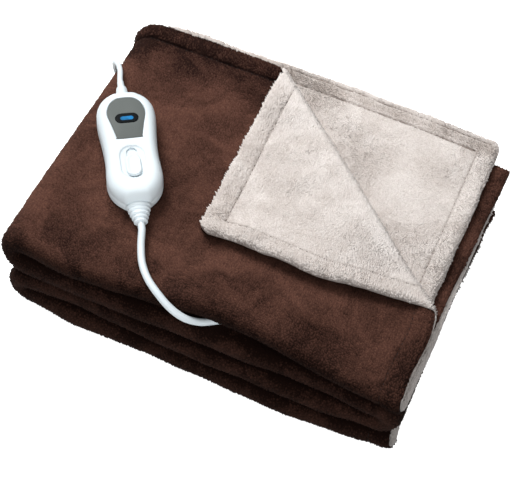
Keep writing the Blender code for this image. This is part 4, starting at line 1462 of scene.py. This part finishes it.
def upper_shell():
    """The handset's upper shell: a soft dome with recesses for the panel and for the slider."""
    outline = closed_spline(mirrored_outline(BODY_OUTLINE), 4)
    low = SHELL_SPLIT + SHELL_GAP
    rows = [(1.6, low), (0.3, low), (0.0, SHELL_SPLIT + 0.7)]
    # the dome starts at 13.5 mm and rounds in by 9.3 mm
    for k in range(13):
        angle = math.pi / 2 * k / 12
        rows.append((9.3 * (1.0 - math.cos(angle)), 13.5 + (SHELL_TOP - 13.5) * math.sin(angle)))
    bm, _, rim = loft(body_rings(rows, outline), (True, False))
    panel = closed_spline(mirrored_outline(TRIM_OUTLINE, 0.45, 1.018), 4)
    rows = [(-0.5, SHELL_TOP), (-0.15, SHELL_TOP - 0.12), (0.0, SHELL_TOP - 0.4),
            (0.0, SHELL_TOP - 1.3)]
    hole = recess(bm, panel, TRIM_REACH[2], rows)
    middle = (SLOT_LOW_Y + SLOT_TOP_Y) / 2
    centre = Vector((0.0, middle))
    track = stadium(SLOT_TOP_Y - SLOT_LOW_Y - 4.0, TRACK_WIDTH, 24, centre)
    dish_floor = SHELL_TOP - SLOT_DEPTH
    rows = [(-0.3, dish_floor), (0.0, dish_floor - 0.2), (0.0, SHELL_TOP - TRACK_DEPTH)]
    low = recess(bm, track, middle, rows)
    dish = stadium(SLOT_TOP_Y - SLOT_LOW_Y, SLOT_WIDTH, 24, centre)
    rows = [(-0.7, SHELL_TOP), (-0.3, SHELL_TOP - 0.1), (0.0, SHELL_TOP - 0.4),
            (0.3, SHELL_TOP - 0.9), (0.9, SHELL_TOP - 1.35), (1.7, dish_floor)]
    slot = recess(bm, dish, middle, rows, low)
    fill_between(bm, rim, hole, slot)
    return bm


def lower_shell():
    """The handset's lower shell, a tray with a rounded underside."""
    outline = closed_spline(mirrored_outline(BODY_OUTLINE), 4)
    rows = []
    rounding = 4.0
    for k in range(9):
        angle = math.pi / 2 * k / 8
        rows.append((rounding * (1.0 - math.sin(angle)), rounding * (1.0 - math.cos(angle))))
    rows += [(0.0, SHELL_SPLIT - 0.5), (0.3, SHELL_SPLIT), (1.6, SHELL_SPLIT)]
    return loft(body_rings(rows, outline))[0]


def trim_panel():
    """The grey panel with the opening for its window."""
    outline = closed_spline(mirrored_outline(TRIM_OUTLINE), 4)
    low, top = SHELL_TOP - 1.0, SHELL_TOP + 0.2
    rows = [(0.0, low), (0.0, top - 0.25), (0.1, top - 0.08), (0.35, top)]
    rings = [level_ring(shrunk(outline, inset, *TRIM_REACH), z) for inset, z in rows]
    bm, foot, rim = loft(rings, (False, False))
    opening = window_outline(0.3)
    hole = ring(bm, level_ring(opening, top))
    deep = next_ring(bm, hole, level_ring(opening, low))
    fill_between(bm, rim, hole)
    fill_between(bm, foot, deep)
    return bm


def lying_stadium(length, width, steps, along):
    """A stadium across the handset."""
    upright = stadium(length, width, steps, Vector((0.0, 0.0)))
    return [Vector((-point.y, point.x + along)) for point in upright]


def window_outline(grow):
    """The display window's outline, larger all round by grow."""
    return lying_stadium(WINDOW_LENGTH + 2 * grow, WINDOW_WIDTH + 2 * grow, 20, WINDOW_Y)


def window_pane():
    """The dark window, its face slightly crowned."""
    rows = [(0.0, SHELL_TOP - 1.0), (0.0, SHELL_TOP + 0.28), (0.12, SHELL_TOP + 0.42),
            (0.5, SHELL_TOP + 0.5), (2.5, SHELL_TOP + 0.56)]
    outline = window_outline(0.0)
    rings = [level_ring(shrunk(outline, inset, 11.0, 5.0, WINDOW_Y), z) for inset, z in rows]
    return loft(rings)[0]


def display_bar():
    """The lit bar in the window's face."""
    outline = lying_stadium(BAR_LENGTH, BAR_WIDTH, 14, BAR_Y)
    rows = [(0.0, SHELL_TOP + 0.3), (0.0, SHELL_TOP + 0.6), (0.5, SHELL_TOP + 0.66)]
    rings = [level_ring(shrunk(outline, inset, BAR_LENGTH / 2, BAR_WIDTH / 2, BAR_Y), z)
             for inset, z in rows]
    return loft(rings)[0]


def thumb_slider():
    """The slide switch: a rounded cap with a hollow for the thumb, and its stem in the track."""
    middle = SLOT_LOW_Y + SLIDER_LENGTH / 2 + 2.0
    centre = Vector((0.0, middle))
    foot = SHELL_TOP - SLOT_DEPTH + 0.3
    stem = stadium(SLIDER_LENGTH - 6.0, TRACK_WIDTH - 1.0, 20, centre)
    cap = stadium(SLIDER_LENGTH, SLIDER_WIDTH, 20, centre)
    rings = [level_ring(stem, SHELL_TOP - TRACK_DEPTH + 0.3), level_ring(stem, foot)]
    rows = [(0.2, foot), (0.0, foot + 0.3), (0.0, SHELL_TOP + 0.6), (0.2, SHELL_TOP + 1.15),
            (0.7, SHELL_TOP + 1.5), (1.4, SHELL_TOP + 1.6), (2.0, SHELL_TOP + 1.5),
            (3.4, SHELL_TOP + 1.15), (5.2, SHELL_TOP + 1.0)]
    rings += [level_ring(shrunk(cap, inset, 8.0, 14.5, middle), z) for inset, z in rows]
    return loft(rings)[0]


def mains_sleeve():
    """The short smooth sleeve where the mains lead leaves the handset."""
    rows = [(60.3, 6.7), (61.5, 6.9), (63.0, 6.7), (66.0, 6.2), (70.0, 5.6), (73.0, 5.2),
            (74.2, 4.9), (74.8, 4.2), (75.0, 3.5), (82.6, 3.2), (83.0, 3.0)]
    return loft([tube_ring(along, radius, radius, 32, LEAD_AXIS_Z) for along, radius in rows])[0]


def ribbed_relief():
    """The ribbed strain relief of the throw's lead: a tapering boot cut by four grooves."""
    rows = [(-69.6, 11.4, 7.4), (-70.4, 12.0, 7.8), (-72.4, 11.8, 7.7), (-73.1, 11.2, 7.4)]
    ribs = ((-75.2, 10.6, 7.2), (-79.4, 9.3, 6.6), (-83.6, 7.9, 5.9), (-87.8, 6.6, 5.3))
    for start, rib, height in ribs:
        rows += [(start + 1.7, rib - 0.5, height - 0.4), (start + 1.4, rib - 1.0, height - 0.75),
                 (start + 0.4, rib - 1.0, height - 0.75), (start + 0.1, rib - 0.4, height - 0.3),
                 (start - 0.3, rib, height), (start - 1.5, rib - 0.15, height - 0.1)]
    rows += [(-89.7, 5.0, 4.6), (-90.0, 4.2, 4.1)]
    return loft([tube_ring(along, wide, high, 32, LEAD_AXIS_Z) for along, wide, high in rows])[0]


# ---------------------------------------------------------------- leads and plug


def route_points(points, pitch):
    """Points about one pitch apart on a smooth curve through the route's own points."""
    knots = [points[0] * 2 - points[1]] + points + [points[-1] * 2 - points[-2]]
    result = []
    for k in range(1, len(knots) - 2):
        around = knots[k - 1:k + 3]
        count = max(1, round((around[2] - around[1]).length / pitch))
        result += [spline(*around, step / count) for step in range(count)]
    result.append(points[-1].copy())
    return result


def round_radius(number, share):
    """Distance of a round of the hank from its middle line, at a share of the round."""
    start, swing = HANK_ROUNDS[number]
    after = HANK_ROUNDS[min(number + 1, len(HANK_ROUNDS) - 1)][0]
    t = clamp((share - FRONT_RUN_STOP) / END_SHARE)
    return start + (after - start) * smooth(t) + swing * math.sin(math.pi * t)


def hank_points():
    """The tied hank's rounds, clockwise from above, each lying beside or on those before it."""
    steps = 96
    thick = 2 * MAINS_RADIUS / MM
    radii, heights = [], []
    # the last round stops near the end of its back run, where the tail leaves
    for place in range(steps * (len(HANK_ROUNDS) - 1) + 18):
        share = place % steps / steps
        radius = round_radius(place // steps, share)
        below = [(radii[k], heights[k]) for k in range(place % steps, place, steps)]
        if share > 0.87:
            # the lead on its way in, in line with the back run, lies under the rounds here
            turned = math.pi * (1.0 - share) / END_SHARE
            below.append((HANK_ROUNDS[0][0] / math.cos(turned), HANK_FLOOR))
        height = HANK_FLOOR
        for other, level in below:
            side = abs(radius - other)
            if side < thick:
                height = max(height, level + math.sqrt(thick ** 2 - side ** 2))
        radii.append(radius)
        heights.append(height)
    points = []
    for place, radius in enumerate(radii):
        around = heights[max(0, place - 3):place + 4]
        height = max(heights[place], sum(around) / len(around))
        points.append(racetrack(place % steps / steps, radius, HANK_RUN / 2, height))
    return points


def racetrack(share, radius, half, height):
    """A point of a round: back run, right end, front run, left end."""
    if share < BACK_RUN_STOP:
        x, y = -half + 2 * half * share / BACK_RUN_STOP, radius
    elif share < RIGHT_END_STOP:
        angle = math.pi * (share - BACK_RUN_STOP) / END_SHARE
        x, y = half + radius * math.sin(angle), radius * math.cos(angle)
    elif share < FRONT_RUN_STOP:
        x, y = half - 2 * half * (share - RIGHT_END_STOP) / BACK_RUN_STOP, -radius
    else:
        angle = math.pi * (share - FRONT_RUN_STOP) / END_SHARE
        x, y = -half - radius * math.sin(angle), -radius * math.cos(angle)
    return Vector((HANK_X + x, HANK_Y + y, height)) * MM


def cord_curve(name, points, radius, material):
    """A round lead along its points."""
    data = new_curve(name, radius, 5, material)
    line = data.splines.new("POLY")
    line.points.add(len(points) - 1)
    for place, point in zip(line.points, points):
        place.co = (*point, 1.0)
    line.use_smooth = True
    piece = bpy.data.objects.new(name, data)
    bpy.context.scene.collection.objects.link(piece)
    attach(piece, THROW)
    brighten(piece)
    return piece


def tie_ring(along, radius):
    """The strap's section round the hank, stretched over its outermost rounds."""
    thick = 2 * MAINS_RADIUS / MM
    outer = HANK_ROUNDS[0][0]
    corners = [(-outer, HANK_FLOOR), (outer, HANK_FLOOR), (outer, HANK_FLOOR + 2 * thick),
               (-outer, HANK_FLOOR + thick)]
    points = []
    sides = 72
    for k in range(sides):
        across, up = math.cos(math.tau * k / sides), math.sin(math.tau * k / sides)
        y, z = max(corners, key=lambda corner: corner[0] * across + corner[1] * up)
        points.append(Vector((along, HANK_Y + y + radius * across, z + radius * up)))
    return points


def tie_band():
    """The woven strap round the hank's middle."""
    inside, outside = MAINS_RADIUS / MM + 0.1, MAINS_RADIUS / MM + 0.95
    left, right = HANK_X - TIE_WIDTH / 2, HANK_X + TIE_WIDTH / 2
    rows = [(left, inside), (left, outside - 0.2), (left + 0.25, outside),
            (right - 0.25, outside), (right, outside - 0.2), (right, inside)]
    bm, first, last = loft([tie_ring(along, radius) for along, radius in rows], (False, False))
    bmesh.ops.bridge_loops(bm, edges=ring_edges(first) + ring_edges(last))
    return bm


def plug_matrix():
    """Where the plug lies behind the pile: its own Y along its pins, towards +X."""
    place = Vector((PLUG_X, PLUG_Y, PLUG_Z)) * MM
    turned = Euler((0.0, math.pi, math.radians(-90)))
    return Matrix.LocRotScale(place, turned, None) @ Matrix.Scale(MM, 4)


def plug_housing():
    """The plug's slim moulded body."""
    side = PLUG_CORD_Y - PLUG_Y
    half = PLUG_WIDTH / 2
    corners = [(side - 9.0, 0.0), (side + 8.0, 0.0), (half, 8.0), (half, PLUG_LENGTH),
               (-half, PLUG_LENGTH), (-half, 14.0)]
    low, high = -PLUG_THICK / 2 + 0.2, PLUG_THICK / 2
    bm = bmesh.new()
    ring(bm, [Vector((x, y, low)) for x, y in corners])
    base = bmesh.ops.contextual_create(bm, geom=bm.edges[:])["faces"]
    raised = bmesh.ops.extrude_face_region(bm, geom=base, use_keep_orig=True)["geom"]
    verts = [item for item in raised if isinstance(item, bmesh.types.BMVert)]
    bmesh.ops.translate(bm, verts=verts, vec=(0.0, 0.0, high - low))
    upright = [e for e in bm.edges if abs(e.verts[0].co.z - e.verts[1].co.z) > 1.0]
    bmesh.ops.bevel(bm, geom=upright, offset=3.5, offset_type="OFFSET", segments=8,
                    profile=0.5, affect="EDGES", material=-1)
    for level in (low, high):
        rim = [e for e in bm.edges if all(abs(v.co.z - level) < 1e-4 for v in e.verts)]
        bmesh.ops.bevel(bm, geom=rim, offset=2.0, offset_type="OFFSET", segments=5,
                        profile=0.5, affect="EDGES", material=-1)
    return bm


def plug_relief():
    """The plug's tapering strain relief with shallow ribs."""
    rows = [(-0.3, 6.0, 5.2), (-4.0, 5.6, 5.0), (-7.0, 5.2, 4.8)]
    for start in (-9.0, -13.5, -18.0, -22.5):
        thin = 3.5 + (start + 31.0) * 0.055
        rows += [(start + 0.6, thin + 0.8, thin + 0.7), (start, thin + 0.1, thin + 0.1),
                 (start - 1.2, thin + 0.1, thin + 0.1), (start - 1.8, thin + 0.75, thin + 0.65)]
    rows += [(-29.5, 3.7, 3.7), (-31.0, 3.4, 3.4)]
    side = PLUG_CORD_Y - PLUG_Y
    return loft([tube_ring(along, wide, high, 28, 0.0, side) for along, wide, high in rows])[0]


def plug_pin(across):
    """One round pin with a domed tip."""
    rows = [(0.0, PIN_RADIUS), (PIN_LENGTH - 1.4, PIN_RADIUS),
            (PIN_LENGTH - 0.8, PIN_RADIUS - 0.2), (PIN_LENGTH - 0.3, PIN_RADIUS - 0.7),
            (PIN_LENGTH, PIN_RADIUS - 1.4)]
    start = PLUG_LENGTH + 0.3
    return loft([tube_ring(start + along, radius, radius, 24, 0.0, across)
                 for along, radius in rows])[0]


def pin_sleeve(across):
    """The insulating sleeve over the root of a pin."""
    rows = [(0.05, 2.0), (0.05, 2.32), (9.2, 2.32), (9.6, 2.2), (9.7, 2.0)]
    start = PLUG_LENGTH + 0.1
    rings = [tube_ring(start + along, radius, radius, 24, 0.0, across) for along, radius in rows]
    bm, first, last = loft(rings, (False, False))
    bmesh.ops.bridge_loops(bm, edges=ring_edges(first) + ring_edges(last))
    return bm


# ---------------------------------------------------------------- operators


class HEATEDTHROW_OT_stage(bpy.types.Operator):
    """Make the camera, the pale floor and the soft studio light"""

    bl_idname = "heated_throw.stage"
    bl_label = "Camera, Floor and Light"

    def execute(self, context):
        settings = context.scene.heated_throw_stage
        self.make_camera(context, settings)
        self.make_floor(context, settings)
        self.make_light(context, settings)
        return {"FINISHED"}

    @staticmethod
    def make_camera(context, settings):
        azimuth, elevation = math.radians(CAMERA_AZIMUTH), math.radians(CAMERA_ELEVATION)
        back = Vector((math.sin(azimuth) * math.cos(elevation),
                       -math.cos(azimuth) * math.cos(elevation), math.sin(elevation)))
        data = bpy.data.cameras.new("photo_camera")
        data.lens = settings.lens
        data.sensor_width = 36.0
        data.sensor_fit = "HORIZONTAL"
        data.clip_start = 0.05
        data.clip_end = 30.0
        camera = bpy.data.objects.new("photo_camera", data)
        camera.location = Vector(CAMERA_TARGET) + back * CAMERA_DISTANCE
        camera.rotation_euler = (-back).to_track_quat("-Z", "Y").to_euler()
        context.scene.collection.objects.link(camera)
        context.scene.camera = camera

    @staticmethod
    def make_floor(context, settings):
        material, tree, shader = new_material("matt_paper_sweep", {
            "Roughness": 0.9,
            "Emission Color": (1.0, 1.0, 1.0, 1.0),
            "Emission Strength": 1.0,
        })
        # paper fibres, about 1 mm
        fibre = noise_value(tree, object_place(tree), 900.0, 2.0)
        paper = mixed_colours(tree, fibre, scaled(settings.floor, 0.985), settings.floor)
        tree.links.new(paper, shader.inputs["Base Color"])
        bm = bmesh.new()
        bmesh.ops.create_grid(bm, x_segments=1, y_segments=1, size=6.0)
        mesh = bpy.data.meshes.new("studio_floor")
        bm.to_mesh(mesh)
        bm.free()
        mesh.materials.append(material)
        floor = bpy.data.objects.new("studio_floor", mesh)
        context.scene.collection.objects.link(floor)
        # the paper shows as even white and throws no light of its own up into the folds
        floor.visible_diffuse = False

    @staticmethod
    def make_light(context, settings):
        world = bpy.data.worlds.new("plain_studio")
        world.use_nodes = True
        tree = world.node_tree
        surroundings = tree.nodes["Background"]
        surroundings.inputs["Strength"].default_value = settings.fill
        # brighter overhead than from the sides, and dim from below
        around = add_node(tree, "ShaderNodeTexCoord").outputs["Generated"]
        axes = add_node(tree, "ShaderNodeSeparateXYZ", {}, {}, {"Vector": around})
        shade = spread(tree, axes.outputs["Z"], 0.0, 0.9, 0.05, 1.0)
        tree.links.new(shade, surroundings.inputs["Color"])
        context.scene.world = world
        context.scene.view_settings.view_transform = "Standard"
        lights = (
            ("key_light", (-0.95, 0.76, 1.46), 0.9, settings.key_power),
            ("front_light", (0.9, -1.3, 1.5), 1.6, settings.key_power * FRONT_LIGHT_SHARE),
            ("plastic_light", (0.5, -1.6, 0.75), 1.2, settings.plastic_power),
        )
        for name, place, size, power in lights:
            data = bpy.data.lights.new(name, "AREA")
            data.energy = power
            data.size = size
            light = bpy.data.objects.new(name, data)
            light.location = place
            light.rotation_euler = (-Vector(place)).to_track_quat("-Z", "Y").to_euler()
            context.scene.collection.objects.link(light)
        # the last light reaches only the white plastic
        light.light_linking.receiver_collection = bpy.data.collections.new(PLASTIC)


class HEATEDTHROW_OT_leads(bpy.types.Operator):
    """Make the lead into the throw, and the mains lead with its tied hank and its plug"""

    bl_idname = "heated_throw.leads"
    bl_label = "Leads and Plug"

    def execute(self, context):
        settings = context.scene.heated_throw_leads
        shell = context.scene.heated_throw_handset.shell
        # PVC sheath: slightly soft-looking, with a faint skin of 0.7 mm grain
        sheath = moulded_material("white_pvc_sheath", settings.sheath, 0.42, 1400.0, 0.00008)
        # ABS plug: smoother, with 0.9 mm grain
        housing = moulded_material("white_abs_plug", shell, 0.38, 1100.0, 0.00006)
        plated = plated_material()
        route = [SEAT_MM @ Vector((0.0, along, LEAD_AXIS_Z)) for along in (-87.0, -93.5, -97.0)]
        route += [Vector(row) * MM for row in LEAD_ROUTE]
        lead = cord_curve("lead_into_throw", route_points(route, 3 * MM), LEAD_RADIUS, sheath)
        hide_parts("blanket_lead")

        matrix = plug_matrix()
        pieces = [
            finish_piece("plug_housing", plug_housing(), housing, THROW, matrix,
                         replaced=("plug_body",), sharp=45),
            finish_piece("plug_boot", plug_relief(), sheath, THROW, matrix,
                         replaced=("plug_relief",), sharp=50),
        ]
        for side, node in ((-1, "plug_pin_left"), (1, "plug_pin_right")):
            across = side * PIN_PITCH / 2
            pieces.append(finish_piece(node + "_metal", plug_pin(across), plated, THROW, matrix,
                                       replaced=(node,), sharp=50))
            pieces.append(finish_piece(node + "_sleeve", pin_sleeve(across), housing, THROW, matrix,
                                       sharp=50))
        tie = finish_piece("hank_strap", tie_band(), webbing_material(), THROW, scale=MM,
                           replaced=("hank_tie",), sharp=50)
        pieces.append(tie)
        for piece in pieces:
            brighten(piece)

        route = [SEAT_MM @ Vector((0.0, along, LEAD_AXIS_Z)) for along in (80.0, 86.0)]
        route += [Vector(row) * MM for row in MAINS_ROUTE]
        points = route_points(route, 3 * MM)[:-1] + hank_points()
        points += route_points([Vector(row) * MM for row in TAIL_ROUTE], 3 * MM)
        mains = cord_curve("mains_lead_whole", points, MAINS_RADIUS, sheath)
        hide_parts("mains_lead", "mains_lead_hank", "mains_lead_tail")
        return {"FINISHED"}


class HEATEDTHROW_OT_cloth(bpy.types.Operator):
    """Make both plush panels of the throw, folded into the pile with one corner turned back"""

    bl_idname = "heated_throw.cloth"
    bl_label = "Plush Panels"

    def execute(self, context):
        cloth = context.scene.heated_throw_cloth
        # the third colour of each plush is painted shade for its stitched grooves
        brown = plush_material("brown_polyester_plush", cloth.brown_dark, cloth.brown_light,
                               linear("#1d100c"), 0.0006, 0.02)
        cream = plush_material("cream_polyester_plush", cloth.cream_dark, cloth.cream_light,
                               linear("#8d8078"), 0.0005, 0.12)
        make_panel("plush_face", True, stations(DEPTH, FACE_DEPTH), stations(LENGTH, FACE_LENGTH),
                   brown, cloth)
        make_panel("plush_back", False, stations(DEPTH, BACK_DEPTH), stations(LENGTH, BACK_LENGTH),
                   cream, cloth)
        make_pile("pile_top", True, TOP_PATCHES, face_shows, brown, cloth, 11)
        make_pile("pile_folds", True, FOLD_PATCHES, face_shows, brown, cloth, 12)
        make_pile("pile_back", False, BACK_PATCHES, back_shows, cream, cloth, 13)
        dark_thread = thread_material("brown_polyester_thread", linear("#1f130f"))
        pale_thread = thread_material("taupe_polyester_thread", linear("#66584f"))
        make_stitches("stitches_face", True, face_shows, dark_thread, cloth)
        make_stitches("stitches_back", False, back_shows, pale_thread, cloth)
        return {"FINISHED"}


class HEATEDTHROW_OT_handset(bpy.types.Operator):
    """Make the handset: two shells, grey panel, lit window, thumb slider and both sleeves"""

    bl_idname = "heated_throw.handset"
    bl_label = "Handset"

    def execute(self, context):
        settings = context.scene.heated_throw_handset
        # ABS shells, satin, with 0.8 mm grain
        shell = moulded_material("white_abs_shell", settings.shell, 0.5, 1200.0, 0.00005, shine=0.3)
        # ABS panel, matt, with 0.7 mm grain
        grey = moulded_material("grey_abs_panel", settings.trim, 0.62, 1500.0, 0.00010, shine=0.2)
        # tinted acrylic, nearly flat
        window = moulded_material("dark_acrylic_window", linear("#06090c"), 0.60, 600.0, 0.00001,
                                  shine=0.06)
        # soft rubbery sleeves, with 0.8 mm grain
        boot = moulded_material("white_tpe_boot", settings.shell, 0.46, 1300.0, 0.00007)
        lit = display_material(settings.display)
        white, dull, dark, leads = "white_plastic", "grey_plastic", "dark_window", "white_lead"
        rows = (
            ("handset_lower", lower_shell(), shell, THROW, ("controller_lower_shell",), white),
            ("handset_upper", upper_shell(), shell, THROW, ("controller_upper_shell",), white),
            ("handset_panel", trim_panel(), grey, THROW, ("controller_trim_plate",), dull),
            ("handset_window", window_pane(), window, THROW, ("controller_window",), dark),
            ("handset_display_bar", display_bar(), lit, THROW, (), dark),
            ("handset_slider", thumb_slider(), shell, SLIDER, ("controller_slider",), white),
            ("handset_mains_sleeve", mains_sleeve(), boot, THROW, ("mains_collar",), leads),
            ("handset_ribbed_boot", ribbed_relief(), boot, THROW, ("lead_relief",), leads),
        )
        for name, bm, material, body, nodes, slot in rows:
            piece = finish_piece(name, bm, material, body, SEAT_MM, replaced=nodes,
                                 sharp=38)
            brighten(piece)
        return {"FINISHED"}


class HEATEDTHROW_PT_sidebar(bpy.types.Panel):
    """Sidebar panel with the throw's operators and settings"""

    bl_idname = "HEATEDTHROW_PT_sidebar"
    bl_label = "Heated Throw"
    bl_space_type = "VIEW_3D"
    bl_region_type = "UI"
    bl_category = "Heated Throw"

    def draw(self, context):
        layout = self.layout
        for operator in OPERATORS:
            layout.operator(operator.bl_idname)
        for name, group in GROUPS.items():
            box = layout.box()
            settings = getattr(context.scene, name)
            for prop in group.__annotations__:
                box.prop(settings, prop)


GROUPS = {
    "heated_throw_cloth": HeatedThrowCloth,
    "heated_throw_handset": HeatedThrowHandset,
    "heated_throw_leads": HeatedThrowLeads,
    "heated_throw_stage": HeatedThrowStage,
}
OPERATORS = (
    HEATEDTHROW_OT_stage,
    HEATEDTHROW_OT_leads,
    HEATEDTHROW_OT_cloth,
    HEATEDTHROW_OT_handset,
)


def register():
    """Register the settings, the operators and the panel."""
    for name, group in GROUPS.items():
        bpy.utils.register_class(group)
        setattr(bpy.types.Scene, name, PointerProperty(type=group))
    for item in (*OPERATORS, HEATEDTHROW_PT_sidebar):
        bpy.utils.register_class(item)


def unregister():
    """Remove them again."""
    for item in (HEATEDTHROW_PT_sidebar, *reversed(OPERATORS)):
        bpy.utils.unregister_class(item)
    for name, group in GROUPS.items():
        delattr(bpy.types.Scene, name)
        bpy.utils.unregister_class(group)


def main():
    """Build the whole scene."""
    register()
    bpy.ops.heated_throw.stage()
    bpy.ops.heated_throw.leads()
    bpy.ops.heated_throw.cloth()
    bpy.ops.heated_throw.handset()
    bpy.context.view_layer.update()


if __name__ == "__main__":
    main()
